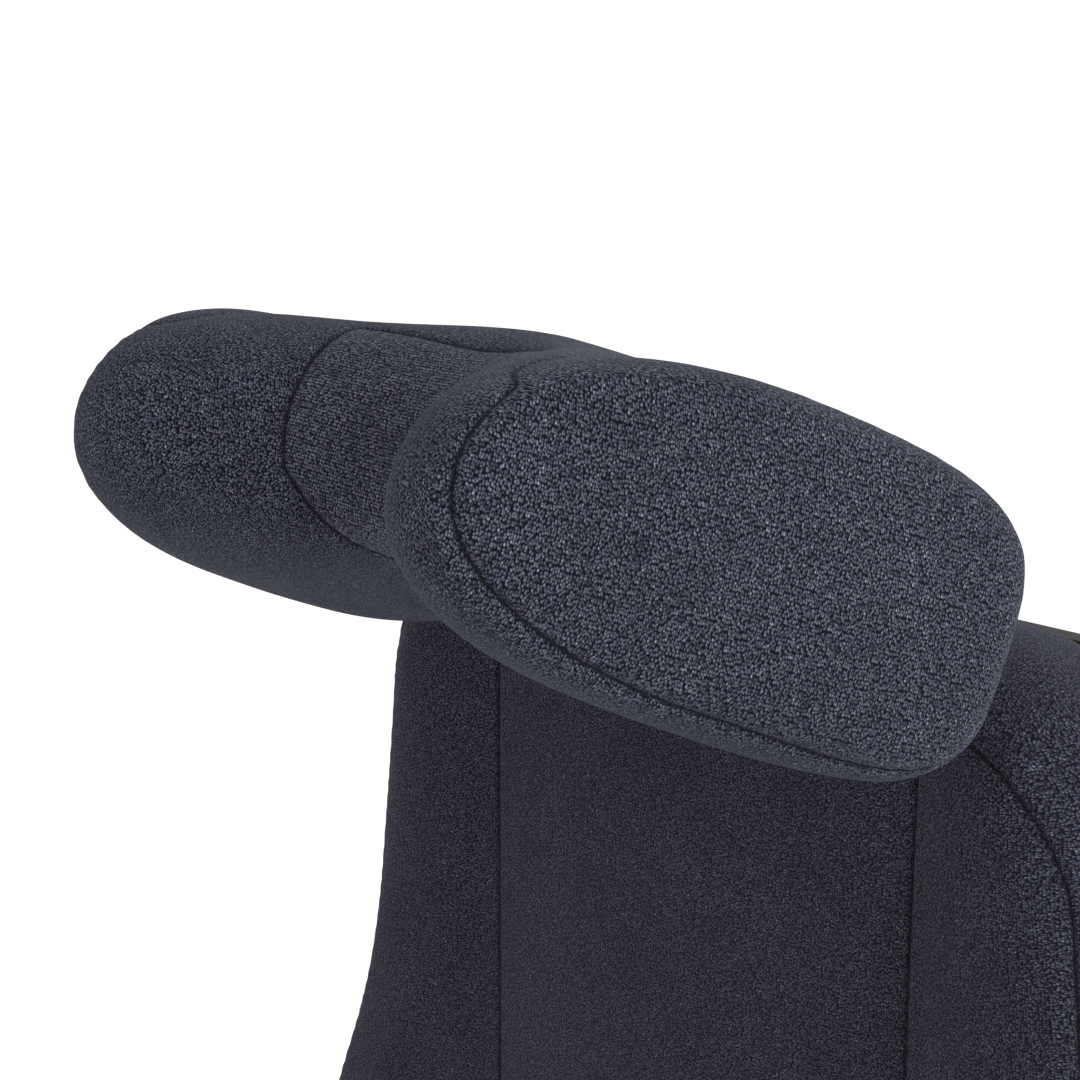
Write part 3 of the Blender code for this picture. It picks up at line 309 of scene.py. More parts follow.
def ontoSurface(piece, seams):
    surface = BVHTree.FromObject(piece, bpy.context.evaluated_depsgraph_get())
    return [np.array([surface.find_nearest(Vector(p))[0] for p in line]) for line in seams]


sewing = {
    "holdFade": 0.012, "leastHold": 0.01,     # beside a seam the hold on the cloth fades out
    "cloth": {"quality": 4, "mass": 0.25, "tension_stiffness": 12.0, "compression_stiffness": 12.0,
              "shear_stiffness": 4.0, "bending_stiffness": 0.6, "use_pressure": True},
    "frames": 20,
    "smooth": 0.5, "firstEase": 3,
    "puckerWidth": 0.007, "puckerClear": 0.0015,    # puckers lie beside the thread, not on it
    "puckerPitch": 0.55, "stray": 1.7, "strayPitch": 0.083,    # their phase along the points of a seam
    "endFacing": 0.66,                        # a face turned further sideways belongs to an end
    "lapJump": 0.1,                           # a longer step round the section crosses the lap at the rear
}


def puff(piece, seams, pad):
    start = places(piece.data)
    reach, _ = seamDistance(start, pointTree(np.concatenate(seams)))
    hold = 1.0 - smoothStep(reach, pad["heldWidth"], pad["heldWidth"] + sewing["holdFade"])
    group = piece.vertex_groups.new(name="held")
    for i, weight in enumerate(hold):
        if weight > sewing["leastHold"]:
            group.add([i], float(weight), "REPLACE")
    cloth = piece.modifiers.new("cloth", "CLOTH")
    for key, value in sewing["cloth"].items():
        setattr(cloth.settings, key, value)
    cloth.settings.uniform_pressure_force = pad["pressure"]
    cloth.settings.effector_weights.gravity = 0.0
    cloth.settings.vertex_group_mass = "held"
    cloth.point_cache.frame_start, cloth.point_cache.frame_end = 1, sewing["frames"]
    scene = bpy.context.scene
    for step in range(1, sewing["frames"] + 1):
        scene.frame_set(step)
    puffed = piece.evaluated_get(bpy.context.evaluated_depsgraph_get())
    moved = places(puffed.data) - start
    piece.modifiers.remove(cloth)
    piece.vertex_groups.remove(group)
    scene.frame_set(1)
    far = np.linalg.norm(moved, axis=1, keepdims=True)
    moved *= np.minimum(1.0, pad["swell"] / np.maximum(far, 1e-9))
    setPlaces(piece.data, start + moved)
    most = float(np.linalg.norm(moved, axis=1).max()) * 1000
    print("  puffed", piece.name, "by up to", round(most, 1), "mm")


def refineAlong(piece, tree, reach):
    mesh = bmesh.new()
    mesh.from_mesh(piece.data)
    near = {v for v in mesh.verts if tree.find(v.co)[2] < reach}
    edges = [e for e in mesh.edges if e.verts[0] in near and e.verts[1] in near]
    bmesh.ops.subdivide_edges(mesh, edges=edges, cuts=1, use_grid_fill=True)
    mesh.to_mesh(piece.data)
    mesh.free()


def sewSeams(piece, seams, pad):
    tree = pointTree(np.concatenate(seams))
    for reach in pad["refine"]:
        refineAlong(piece, tree, reach)
    mesh = piece.data
    co = places(mesh)
    away, index = seamDistance(co, tree)
    pull = pad["pullDepth"] * np.exp(-((away / pad["pullWidth"]) ** 2))
    crease = pad["creaseDepth"] * np.exp(-away / pad["creaseWidth"])
    wave = np.sin(index * sewing["puckerPitch"] + sewing["stray"] * np.sin(index * sewing["strayPitch"]))
    pucker = pad["pucker"] * np.exp(-((away / sewing["puckerWidth"]) ** 2)) * wave
    clear = 1.0 - np.exp(-away / sewing["puckerClear"])
    setPlaces(mesh, co - vertexNormals(mesh) * (pull + crease + pucker * clear)[:, None])
    # marks each seam's line for its painted shade
    mark = mesh.attributes.new("seam", "FLOAT", "POINT")
    mark.data.foreach_set("value", np.exp(-((away / pad["seamLine"]) ** 2)).astype(np.float32))


def layWeave(piece):
    # the weave's own coordinates in metres, laid flat from the side that each face looks to
    mesh = piece.data
    count, corners = len(mesh.polygons), len(mesh.loops)
    normal, total = np.empty(count * 3, np.float32), np.empty(count, np.int32)
    mesh.polygons.foreach_get("normal", normal)
    mesh.polygons.foreach_get("loop_total", total)
    vertex = np.empty(corners, np.int32)
    mesh.loops.foreach_get("vertex_index", vertex)
    side = np.repeat(np.argmax(np.abs(normal.reshape(-1, 3)), axis=1), total)
    flat = np.array([(1, 2), (0, 2), (0, 1)])[side]
    spot = np.take_along_axis(places(mesh)[vertex], flat, axis=1)
    mesh.uv_layers.new(name="weave").data.foreach_set("uv", spot.astype(np.float32).ravel())


def wrapWeave(piece, rings):
    # the weave runs along the bolster and round its section, and lies flat on its ends
    grid = np.concatenate([rings, rings[:, :1]], axis=1)
    rows, columns = grid.shape[:2]
    along, around = np.zeros((rows, columns)), np.zeros((rows, columns))
    along[1:] = np.cumsum(np.linalg.norm(np.diff(grid, axis=0), axis=2), axis=0)
    around[:, 1:] = np.cumsum(np.linalg.norm(np.diff(grid, axis=1), axis=2), axis=1)
    laid = np.stack([along - along[rows // 2], around - around[:, columns // 2][:, None]], -1).reshape(-1, 2)
    corner = np.arange(rows * columns).reshape(rows, columns)
    quads = np.stack([corner[:-1, :-1], corner[:-1, 1:], corner[1:, 1:], corner[1:, :-1]], -1).reshape(-1, 4)
    points = [Vector(p) for p in grid.reshape(-1, 3)]
    surface = BVHTree.FromPolygons(points, quads.tolist())
    mesh = piece.data
    co = places(mesh)
    flat = np.empty((len(co), 2))
    for i, p in enumerate(co):
        spot, _, face, _ = surface.find_nearest(p)
        quad = quads[face]
        flat[i] = np.array(poly_3d_calc([points[k] for k in quad], spot)) @ laid[quad]
    uv = mesh.uv_layers["weave"].data
    for face in mesh.polygons:
        if abs(face.normal.x) > sewing["endFacing"]:
            continue
        first = flat[mesh.loops[face.loop_start].vertex_index]
        for loop in face.loop_indices:
            spot = flat[mesh.loops[loop].vertex_index]
            if abs(spot[1] - first[1]) < sewing["lapJump"]:    # faces on the lap keep the flat weave
                uv[loop].uv = spot


def padCover(name, rings, seams, pad, cloth, body, node):
    piece = ringsObject(name, rings)
    applyModifier(piece, "REMESH", mode="VOXEL", voxel_size=pad["voxel"])
    applyModifier(piece, "SMOOTH", factor=sewing["smooth"], iterations=sewing["firstEase"])
    seams = ontoSurface(piece, seams)
    puff(piece, seams, pad)
    applyModifier(piece, "SMOOTH", factor=sewing["smooth"], iterations=pad["ease"])
    applyModifier(piece, "SUBSURF", levels=1, render_levels=1)
    sewSeams(piece, ontoSurface(piece, seams), pad)
    layWeave(piece)
    only(piece)
    bpy.ops.object.shade_smooth()
    piece.data.materials.append(cloth)
    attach(piece, body)
    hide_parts(node)
    print("pad:", name, len(piece.data.vertices), "points")
    return piece


headrest = {
    "halfWidth": 0.1577, "up": 0.058, "down": 0.0508, "noseReach": 0.1032, "rearReach": 0.0877,
    "noseDrop": 0.006, "noseSquareness": 2.2, "chinSquareness": 2.15, "rearSquareness": 4.1,
    "hollowDepth": 0.0714, "hollowHalf": 0.1185, "hollowRise": 0.0104, "arch": 0.5,
    "endToe": 21.0, "endRound": 0.018,
    "pitch": 24.0, "middle": (0.1060, 1.0928),      # Y and Z of the middle of the section
    "stations": 40, "endStations": 9, "endSweep": 1.5, "turnStep": 4,
    "voxel": 0.005, "pressure": 2.0, "swell": 0.003, "heldWidth": 0.004, "ease": 3,
    "refine": (0.009, 0.0045),
    "pullDepth": 0.0008, "pullWidth": 0.010, "creaseDepth": 0.0016, "creaseWidth": 0.0016,
    "pucker": 0.0002, "seamLine": 0.0009, "fill": 0.85,
    "lineStep": 0.004, "seamStep": 0.0006,
    # sewn lines of the right half, as (share of the half width, degrees round the section from the nose up)
    "endSeam": [(0.70, 172), (0.70, 140), (0.70, 100), (0.70, 70), (0.71, 54), (0.73, 44), (0.773, 38.3),
                (0.85, 35.5), (0.904, 33.1), (0.931, 27.2), (0.954, 13.7), (0.964, 5.4), (0.975, -3.1),
                (0.983, -15.6), (0.985, -35.7), (0.983, -49.1), (0.979, -62.1), (0.973, -78.2),
                (0.967, -90.9), (0.965, -100.5), (0.965, -115), (0.965, -135), (0.965, -150)],
    "frontSeam": [(0.371, 62.3), (0.34, 43.6), (0.317, 25.1), (0.299, 11.6), (0.276, 0.9), (0.24, -11.7),
                  (0.199, -30.9), (0.155, -55.1), (0.08, -70), (0.0, -74)],
    "topSeam": [(0.371, 62.3), (0.296, 63.2), (0.219, 62.1), (0.114, 58.5), (0.0, 57.0)],
    "evenly": (1.0, 0.01),                    # brings degrees near to shares, for even steps on a sewn line
}


def headrestPlace(form, share, turn):
    share, turn = np.broadcast_arrays(np.asarray(share, float), np.asarray(turn, float))
    cosine, sine = np.cos(turn), np.sin(turn)
    front = np.where(sine >= 0.0, form["noseSquareness"], form["chinSquareness"])
    power = 2.0 / np.where(cosine > 0.0, front, form["rearSquareness"])
    ahead = np.sign(cosine) * np.abs(cosine) ** power
    up = np.sign(sine) * np.abs(sine) ** power
    span = np.abs(share)
    flat = 1.0 - form["endRound"] / form["halfWidth"]
    over = np.clip((span - flat) / (1.0 - flat), 0.0, 1.0)
    drawnIn = form["endRound"] * (1.0 - np.sqrt(1.0 - over ** 2))
    hollow = np.cos(np.minimum(span * form["halfWidth"] / form["hollowHalf"], 1.0) * math.pi / 2.0) ** 2
    nose = np.maximum(ahead, 0.0)
    reach = np.where(ahead > 0.0, form["noseReach"], form["rearReach"])
    height = np.where(up > 0.0, form["up"] + form["hollowRise"] * hollow,
                      form["down"] * (1.0 - form["arch"] * hollow))
    forward = ahead * (reach - drawnIn) - form["hollowDepth"] * hollow * nose
    x = span * form["halfWidth"] - span ** 3 * math.tan(math.radians(form["endToe"])) * forward
    lift = up * (height - drawnIn) - form["noseDrop"] * nose
    pitch = math.radians(form["pitch"])
    y = form["middle"][0] - math.cos(pitch) * forward + math.sin(pitch) * lift
    z = form["middle"][1] + math.sin(pitch) * forward + math.cos(pitch) * lift
    return np.stack([np.where(share < 0.0, -x, x), y, z], -1)


def layCentrePanel(form, piece, points, shares, turns, cloth):
    # faces inside the front seams take the cloth with its rows across, a copy painted lighter for the hollow
    tree = pointTree(points)
    near = np.array([tree.find(face.center)[1] for face in piece.data.polygons])
    share, turn = np.abs(shares[near]), turns[near]
    side, top = np.array(form["frontSeam"][::-1]), np.array(form["topSeam"][::-1])
    between = share < np.interp(turn, side[:, 1], side[:, 0], left=0.0)
    below = turn < np.interp(share, top[:, 0], top[:, 1])
    piece.data.materials.append(cloth)
    piece.data.polygons.foreach_set("material_index", (between & below).astype(np.int32))


def headrestCover(form, cloth, rowsPaintedLighterCloth):
    flat = 1.0 - form["endRound"] / form["halfWidth"]
    onEnd = flat + (1.0 - flat) * np.sin(np.linspace(0.0, form["endSweep"], form["endStations"]))
    half = np.concatenate([np.linspace(0.0, flat, form["stations"])[:-1], onEnd])
    stations = np.concatenate([-half[:0:-1], half])
    turns = np.arange(-180, 180, form["turnStep"])
    rings = headrestPlace(form, stations[:, None], np.radians(turns)[None, :])
    seams = []
    for name in ("endSeam", "frontSeam", "topSeam"):
        line = softLine(np.array(form[name], float) * form["evenly"], form["lineStep"]) / form["evenly"]
        for side in (1.0, -1.0):
            sewn = headrestPlace(form, side * line[:, 0], np.radians(line[:, 1]))
            seams.append(evenLine(sewn, form["seamStep"]))
    piece = padCover("headrestCover", rings, seams, form, cloth, "headrest", "headrest_cushion")
    wrapWeave(piece, rings)
    shares, turns = np.broadcast_arrays(stations[:, None], turns[None, :])
    layCentrePanel(form, piece, rings.reshape(-1, 3), shares.ravel(), turns.ravel(), rowsPaintedLighterCloth)


backPad = {
    "bottom": 0.4997, "top": 1.0590, "flareZ": 0.7747, "flareSpan": 0.13,
    "side": [(0.4997, 0.262), (0.60, 0.268), (0.68, 0.270), (0.73, 0.264), (0.762, 0.2530), (0.80, 0.2370),
             (0.84, 0.2265), (0.90, 0.2195), (0.96, 0.2105), (1.01, 0.2065),
             (1.0597, 0.2050)],               # half width up the height
    "sideStep": 0.002,
    "topCorner": 0.080, "lowCorner": 0.130, "rear": 0.2796, "front": 0.2118, "roll": 0.032, "crown": 0.004,
    "wingWidth": 0.094, "wingReach": 0.017, "wingLowReach": 0.028, "tuck": 0.014,
    "faceRings": (0.95, 0.1, 16),             # first and last size of the rings on the front, and how many
    "uprightSeam": 0.122,
    "edgeSeam": {"side": 0.012, "top": 0.035, "low": 0.034, "topCorner": 0.052, "lowCorner": 0.110},
    "voxel": 0.0072, "pressure": 3.0, "swell": 0.005, "heldWidth": 0.004, "ease": 4,
    "refine": (0.010, 0.005),
    "pullDepth": 0.0011, "pullWidth": 0.012, "creaseDepth": 0.0017, "creaseWidth": 0.0017,
    "pucker": 0.0002, "seamLine": 0.0010, "fill": 0.8,
    "edgePoints": 160, "seamPoints": 60, "seamStep": 0.0008,
}


def backFlare(pad, z):
    return 1.0 - smoothStep(z, pad["flareZ"] - pad["flareSpan"], pad["flareZ"] + pad["flareSpan"])


def backHalf(pad, z):
    line = softLine(pad["side"], pad["sideStep"])
    return np.interp(z, line[:, 0], line[:, 1]) - pad.get("drawnIn", 0.0)


def backWing(pad, x, z):
    reach = pad["wingReach"] + (pad["wingLowReach"] - pad["wingReach"]) * backFlare(pad, z)
    rise = smoothStep(z, pad["bottom"] + pad["roll"], pad["bottom"] + pad["lowCorner"] + pad["roll"])
    return reach * rise * (1.0 - smoothStep(backHalf(pad, z) - np.abs(x), pad["roll"], pad["wingWidth"]))


def backOutline(pad, inset=0.0, count=90):
    ends, corners = (pad["bottom"], pad["top"]), (pad["lowCorner"], pad["topCorner"])
    return roundedLoop(ends, corners, lambda z: backHalf(pad, z), inset, count)


def backFront(pad, x, z):
    # the front of the pad at a place, counting its rolled rim and its wings
    edge = np.minimum(np.minimum(backHalf(pad, z) - np.abs(x), pad["top"] - z), z - pad["bottom"])
    over = np.clip(1.0 - edge / pad["roll"], 0.0, 1.0)
    return pad["front"] + pad["roll"] * (1.0 - np.sqrt(1.0 - over ** 2)) - backWing(pad, x, z)


def backCover(pad, cloth):
    thick = pad["rear"] - pad["front"]
    rings = []
    for inset, forward in rimProfile(pad, thick):
        loop = backOutline(pad, inset)
        rings.append(np.stack([loop[:, 0], np.full(len(loop), pad["rear"] - forward), loop[:, 1]], 1))
    edge = rings[-1]
    middle = np.array([0.0, 0.0, 0.5 * (pad["bottom"] + pad["top"])])
    for share in np.linspace(*pad["faceRings"]):
        ring = middle + (edge - middle) * (share, 1.0, share)
        ring[:, 1] = edge[:, 1] - pad["crown"] * (1.0 - share ** 2)
        rings.append(ring)
    for ring in rings:
        ring[:, 1] -= backWing(pad, ring[:, 0], ring[:, 2]) * (pad["rear"] - ring[:, 1]) / thick
    sewn = pad["edgeSeam"]
    low, high, count = pad["bottom"] + sewn["low"], pad["top"] - sewn["top"], pad["seamPoints"]
    drawnPad = {**pad, "bottom": low, "top": high, "drawnIn": sewn["side"],
                "topCorner": sewn["topCorner"], "lowCorner": sewn["lowCorner"]}
    face = backOutline(drawnPad, 0.0, pad["edgePoints"])
    lines = [np.concatenate([face, face[:1]])]
    for side in (-1.0, 1.0):
        lines.append(np.stack([np.full(count, side * pad["uprightSeam"]), np.linspace(low, high, count)], 1))
    seams = []
    for x, z in (line.T for line in lines):
        seams.append(evenLine(np.stack([x, backFront(pad, x, z), z], 1), pad["seamStep"]))
    padCover("backCover", rings, seams, pad, cloth, "back", "back_cushion")


seatPad = {
    "frontY": -0.2652, "backY": 0.2048, "frontHalf": 0.255, "rearHalf": 0.225, "low": 0.4113, "high": 0.4833,
    "taperFrom": 0.12, "frontCorner": 0.10, "rearCorner": 0.08, "roll": 0.034, "rollStretch": 1.05,
    "crown": 0.006, "tuck": 0.014,
    "waterfall": 0.022, "waterfallReach": 0.15, "waterfallPower": 1.5,     # how the front edge falls away
    "faceRings": (0.85, 0.65, 0.4, 0.15),     # size of the rings on the top
    "uprightSeam": 0.125, "faceInset": 0.040, "seamEnds": (0.02, 0.03),
    "voxel": 0.007, "pressure": 3.0, "swell": 0.006, "heldWidth": 0.004, "ease": 4,
    "refine": (0.010, 0.005),
    "pullDepth": 0.0011, "pullWidth": 0.012, "creaseDepth": 0.0017, "creaseWidth": 0.0017,
    "pucker": 0.0002, "seamLine": 0.0010, "fill": 0.8,
    "edgePoints": 160, "seamPoints": 40, "seamStep": 0.0008,
}


def seatHalf(pad, y):
    taper = smoothStep(y, pad["frontY"] + pad["taperFrom"], pad["backY"])
    return pad["frontHalf"] + (pad["rearHalf"] - pad["frontHalf"]) * taper


def seatOutline(pad, inset=0.0, count=90):
    ends, corners = (pad["frontY"], pad["backY"]), (pad["frontCorner"], pad["rearCorner"])
    return roundedLoop(ends, corners, lambda y: seatHalf(pad, y), inset, count)


def seatDrop(pad, y):
    level = smoothStep(y, pad["frontY"], pad["frontY"] + pad["waterfallReach"])
    return pad["waterfall"] * (1.0 - level) ** pad["waterfallPower"]


def seatCover(pad, cloth):
    thick = pad["high"] - pad["low"]
    profile = rimProfile(pad, thick, pad["rollStretch"])

    def lifted(loop, up):
        share = up / thick
        return np.stack([loop[:, 0], loop[:, 1], pad["low"] + up - share * seatDrop(pad, loop[:, 1])], 1)

    rings = [lifted(seatOutline(pad, inset), up) for inset, up in profile]
    edge = seatOutline(pad, profile[-1][0])
    middle = np.array([0.0, 0.5 * (pad["frontY"] + pad["backY"])])
    for share in pad["faceRings"]:
        rings.append(lifted(middle + (edge - middle) * share, thick + pad["crown"] * (1.0 - share ** 2)))
    lines = [seatOutline(pad, pad["faceInset"], pad["edgePoints"])]
    (front, rear), count = pad["seamEnds"], pad["seamPoints"]
    y = np.linspace(pad["frontY"] + front, pad["backY"] - rear, count)
    for side in (-1.0, 1.0):
        lines.append(np.stack([np.full(count, side * pad["uprightSeam"]), y], 1))
    seams = [evenLine(lifted(line, thick), pad["seamStep"]) for line in lines]
    padCover("seatCover", rings, seams, pad, cloth, "seat", "seat_cushion")


# the centre panel's crepe has real rows across, and its yarn is paler than the rest as painted light in the
# hollow
rowsPaintedLighterLook = {"grain": (0.00095, 0.00125), "lean": 0.0, "scatter": 0.5, "rows": 0.3,
           "light": (0.092, 0.097, 0.138), "fleck": 1.0}
backLook = {"grain": (0.0011, 0.0008), "lean": 8.0, "dark": (0.004, 0.004, 0.008),
            "light": (0.051, 0.052, 0.077), "warm": (0.058, 0.058, 0.072)}
seatLook = {**backLook, "grain": (0.0008, 0.0011)}
endCloth = crepeCloth("wool crepe, headrest")
rowsPaintedLighterCloth = crepeCloth("wool crepe, rows across, painted lighter", rowsPaintedLighterLook)
backCloth = crepeCloth("wool crepe, back", backLook)
seatCloth = crepeCloth("wool crepe, seat", seatLook)
headrestCover(headrest, endCloth, rowsPaintedLighterCloth)
backCover(backPad, backCloth)
seatCover(seatPad, seatCloth)


hardLook = {                                  # what the finishes share, unless one has its own
    "metal": 0.0, "tone": (0.8, 1.25),
    "detail": 3.0, "fineRough": 0.6, "broadScale": 22.0, "reliefStrength": 0.6,
}
finishes = {
    "black_plastic": {"colour": (0.016, 0.016, 0.018), "rough": (0.42, 0.6),
                      "grain": 0.0009, "relief": 0.00012},
    "grey_tread": {"colour": (0.11, 0.11, 0.115), "rough": (0.5, 0.7),
                   "grain": 0.0012, "relief": 0.0001},
    "black_paint": {"colour": (0.012, 0.012, 0.013), "rough": (0.34, 0.5),
                    "grain": 0.0006, "relief": 0.00006},
    "plain_steel": {"colour": (0.42, 0.42, 0.43), "rough": (0.28, 0.45), "metal": 1.0,
                    "grain": 0.0015, "relief": 0.00003},
    "chrome": {"colour": (0.62, 0.62, 0.64), "rough": (0.10, 0.16), "metal": 1.0, "tone": (0.97, 1.03),
               "grain": 0.004, "relief": 0.000002},
    "dark_casting": {"colour": (0.05, 0.05, 0.053), "rough": (0.42, 0.62), "metal": 0.6,
                     "grain": 0.0018, "relief": 0.00015},
    "black_rubber": {"colour": (0.013, 0.013, 0.013), "rough": (0.65, 0.85),
                     "grain": 0.0008, "relief": 0.00008},
    "moulded_board": {"colour": (0.018, 0.017, 0.016), "rough": (0.7, 0.85),
                      "grain": 0.003, "relief": 0.0001},
}


def hardFinish(name, finish):
    look = {**hardLook, **finish}
    material, tree, shader = startMaterial(name)
    place = addNode(tree, "TexCoord").outputs["Object"]
    fine = addNode(tree, "TexNoise", inputs={"Vector": place, "Scale": 1.0 / look["grain"],
                                             "Detail": look["detail"], "Roughness": look["fineRough"]})
    broad = addNode(tree, "TexNoise", inputs={"Vector": place, "Scale": look["broadScale"],
                                              "Detail": look["detail"]})
    rough = addRange(tree, broad.outputs["Fac"], noiseSpan, look["rough"])
    dark, light = (tuple(min(1.0, c * share) for c in look["colour"]) for share in look["tone"])
    colour = addRamp(tree, fine.outputs["Fac"], list(zip(noiseSpan, (dark, light))))
    bump = addNode(tree, "Bump", inputs={"Height": fine.outputs["Fac"], "Distance": look["relief"],
                                         "Strength": look["reliefStrength"]})
    feed(tree, shader, {"Base Color": colour, "Roughness": rough, "Normal": bump.outputs[0],
                        "Metallic": look["metal"]})
    return material


slotOf = {part["node"]: part["material_slot"] for part in frame["record"]["subparts"]}
made = {name: hardFinish(name.replace("_", " "), look) for name, look in finishes.items()}
for name, piece in cadNodes.items():
    finish = made.get(slotOf.get(name))
    if finish:
        piece.data.materials.clear()
        piece.data.materials.append(finish)
print("finishes on CAD nodes:", sum(1 for n in cadNodes if slotOf.get(n) in made))


rearPlates = {
    "bottom": 0.500, "top": 1.060, "topWidth": 0.428, "lowWidth": 0.530,
    "topCorner": 0.075, "lowCorner": 0.130,
    "coreInset": 0.016, "coreEdge": 0.003,
    "coverInset": 0.030, "coverEdge": 0.009, "coverWall": 0.003,
    "postRoom": 0.001, "windowDepth": 0.012,
    "sidePoints": 60, "outlinePoints": 110, "edgeSteps": 5, "smoothAngle": 35.0,
    "flatness": 1e-5,                         # how near to a plane its points are taken to be
}


def plateOutline(plates, pad, inset):
    z = np.linspace(plates["bottom"], plates["top"], plates["sidePoints"])
    half = 0.5 * (plates["topWidth"] + (plates["lowWidth"] - plates["topWidth"]) * backFlare(pad, z))
    return backOutline({**pad, **plates, "side": np.stack([z, half], 1)}, inset, plates["outlinePoints"])


def selectPart(piece, kind, wanted):
    mesh = piece.data
    for name in ("vertices", "edges", "polygons"):
        part = getattr(mesh, name)
        part.foreach_set("select", np.zeros(len(part), bool))
    for item in getattr(mesh, kind):
        item.select = bool(wanted(item))
    only(piece)
    bpy.context.tool_settings.mesh_select_mode = (False, kind == "edges", kind == "polygons")


def extrudedPlate(name, plates, loop, low, high, edge):
    # a flat outline, drawn back to its depth, with its rear rim rounded
    bpy.ops.object.select_all(action="DESELECT")
    bpy.ops.mesh.primitive_circle_add(vertices=len(loop), radius=1.0, fill_type="NGON")
    piece = bpy.context.object
    piece.name = piece.data.name = name
    setPlaces(piece.data, np.stack([loop[:, 0], np.full(len(loop), low), loop[:, 1]], 1))
    bpy.ops.object.mode_set(mode="EDIT")
    bpy.ops.mesh.select_all(action="SELECT")
    bpy.ops.mesh.extrude_region_move(TRANSFORM_OT_translate={"value": (0.0, high - low, 0.0)})
    bpy.ops.mesh.select_all(action="SELECT")
    bpy.ops.mesh.normals_make_consistent(inside=False)
    bpy.ops.object.mode_set(mode="OBJECT")
    points = piece.data.vertices
    selectPart(piece, "edges",
               lambda e: all(abs(points[v].co.y - high) < plates["flatness"] for v in e.vertices))
    bpy.ops.object.mode_set(mode="EDIT")
    bpy.ops.mesh.bevel(offset=edge, segments=plates["edgeSteps"], profile=0.5)
    bpy.ops.object.mode_set(mode="OBJECT")
    return piece


def finishPlate(piece, plates, node):
    only(piece)
    bpy.ops.object.shade_smooth_by_angle(angle=math.radians(plates["smoothAngle"]))
    piece.data.materials.append(made[slotOf[node]])
    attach(piece, "back")
    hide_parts(node)


def backPlates(plates, pad):
    low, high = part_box("back_core")
    outline = plateOutline(plates, pad, plates["coreInset"])
    core = extrudedPlate("backCore", plates, outline, low[1], high[1], plates["coreEdge"])
    finishPlate(core, plates, "back_core")
    low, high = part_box("rear_cover")
    outline = plateOutline(plates, pad, plates["coverInset"])
    shell = extrudedPlate("rearCover", plates, outline, low[1], high[1], plates["coverEdge"])
    selectPart(shell, "polygons", lambda f: abs(f.center.y - low[1]) < plates["flatness"])
    bpy.ops.object.mode_set(mode="EDIT")
    bpy.ops.mesh.delete(type="FACE")          # the front is open, over the board
    bpy.ops.object.mode_set(mode="OBJECT")
    applyModifier(shell, "SOLIDIFY", thickness=plates["coverWall"], offset=-1.0)
    postLow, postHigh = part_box("headrest_post")
    wide, deep = (postHigh[k] - postLow[k] + 2 * plates["postRoom"] for k in (0, 1))
    bpy.ops.object.select_all(action="DESELECT")
    bpy.ops.mesh.primitive_cube_add(size=1.0, location=(0.0, 0.5 * (postLow[1] + postHigh[1]), high[2]),
                                    scale=(wide, deep, 2 * plates["windowDepth"]))
    cutter = bpy.context.object
    applyModifier(shell, "BOOLEAN", operation="DIFFERENCE", object=cutter)
    bpy.data.objects.remove(cutter)
    finishPlate(shell, plates, "rear_cover")
    print("back plates:", len(shell.data.polygons), "faces on the rear cover")


backPlates(rearPlates, backPad)


room = {
    "floorSize": 40.0, "floor": (0.60, 0.60, 0.60), "floorRough": 0.9, "floorGlow": 0.60,
    "world": 1.12,
    "frontShare": 0.60, "frontSpan": (-0.6, 0.2),    # the world is dimmer before the chair
    "horizonSpan": (0.08, 0.30),              # but white at the horizon
    "topShare": 0.66, "topSpan": (0.35, 0.9),    # and dimmer overhead
    "keyAt": (1.02, 0.10, 1.50), "keyOn": (0.155, 0.03, 1.10), "key": 8.0, "keySize": 0.6,
}
white = (1.0, 1.0, 1.0, 1.0)


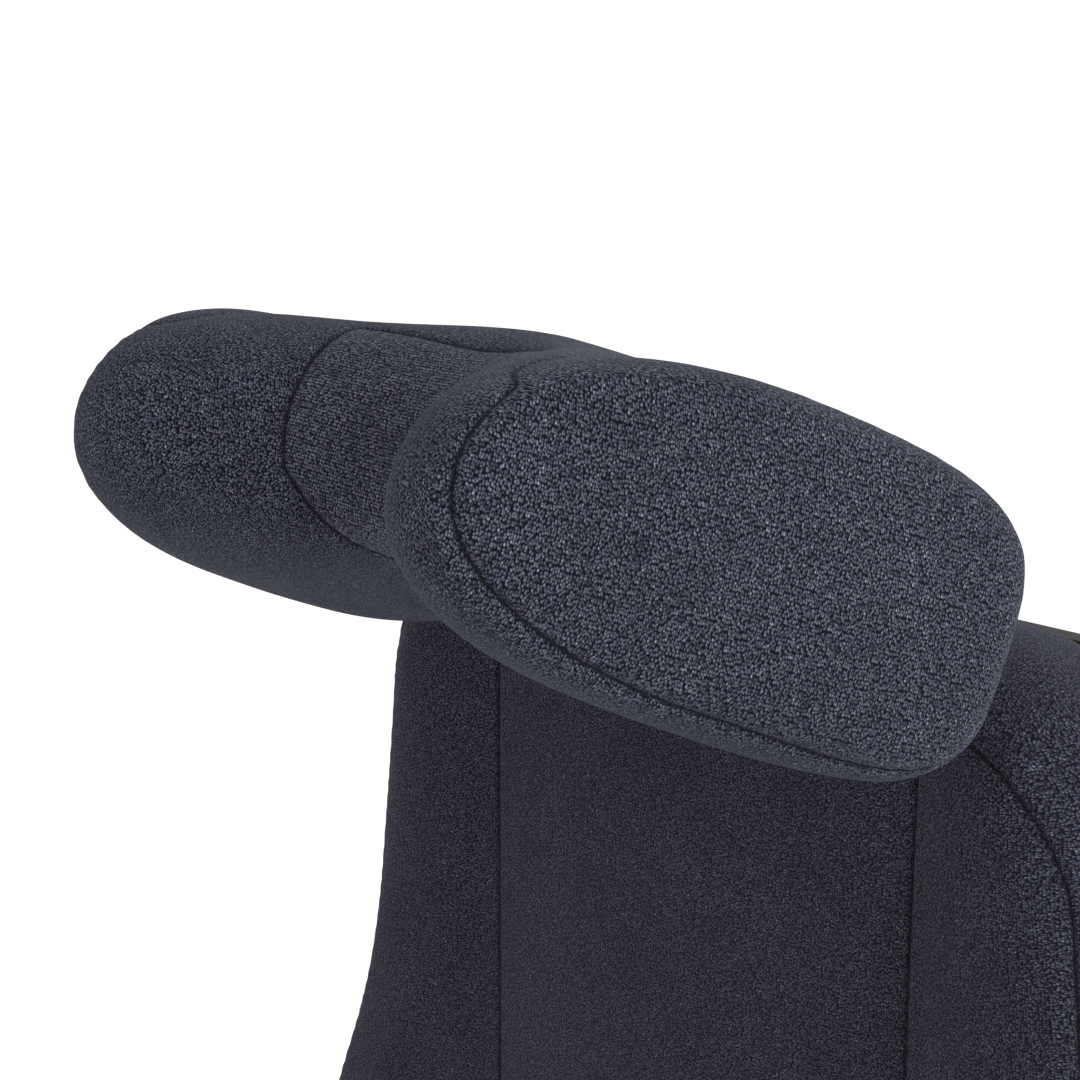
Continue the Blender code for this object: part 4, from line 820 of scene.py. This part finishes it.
def makeRoom():
    bpy.ops.object.select_all(action="DESELECT")
    bpy.ops.mesh.primitive_plane_add(size=room["floorSize"], location=(0.0, 0.0, 0.0))
    floor = bpy.context.object
    floor.name = "floor"
    material, tree, shader = startMaterial("pale floor")
    feed(tree, shader, {"Base Color": (*room["floor"], 1.0), "Roughness": room["floorRough"],
                        "Emission Color": white, "Emission Strength": room["floorGlow"]})
    floor.data.materials.append(material)
    world = bpy.data.worlds.new("studio")
    bpy.context.scene.world = world
    world.use_nodes = True
    tree = world.node_tree
    toward = addNode(tree, "SeparateXYZ", inputs={0: addNode(tree, "TexCoord").outputs["Generated"]})
    front = addRange(tree, toward.outputs[1], room["frontSpan"], (1.0 - room["frontShare"], 0.0), True)
    rise = addRange(tree, toward.outputs[2], room["horizonSpan"], (0.0, 1.0), True)
    above = addRange(tree, toward.outputs[2], room["topSpan"], (1.0, room["topShare"]), True)
    front = addMath(tree, "SUBTRACT", 1.0, addMath(tree, "MULTIPLY", front, rise))
    glow = addMath(tree, "MULTIPLY", addMath(tree, "MULTIPLY", front, above), room["world"])
    feed(tree, tree.nodes["Background"], {"Color": white, "Strength": glow})


def addKey():
    lamp = bpy.data.lights.new("key light", "AREA")
    lamp.energy = room["key"]
    lamp.size = room["keySize"]
    holder = bpy.data.objects.new("key light", lamp)
    bpy.context.scene.collection.objects.link(holder)
    holder.location = room["keyAt"]
    toward = Vector(room["keyAt"]) - Vector(room["keyOn"])
    holder.rotation_euler = toward.to_track_quat("Z", "Y").to_euler()


view = {"place": (0.5383, -0.2836, 1.2144), "azimuth": 51.85, "elevation": 11.34, "lens": 62.94,
        "sensor": 36.0, "clipStart": 0.02}


def makeCamera():
    lens = bpy.data.cameras.new("camera")
    lens.sensor_width = view["sensor"]
    lens.sensor_fit = "HORIZONTAL"
    lens.lens = view["lens"]
    lens.clip_start = view["clipStart"]
    camera = bpy.data.objects.new("camera", lens)
    bpy.context.scene.collection.objects.link(camera)
    camera.location = view["place"]
    camera.rotation_euler = (math.radians(90.0 - view["elevation"]), 0.0, math.radians(view["azimuth"]))
    bpy.context.scene.camera = camera
    bpy.context.scene.view_settings.view_transform = "Standard"


makeRoom()
addKey()
makeCamera()
print("room and camera done")
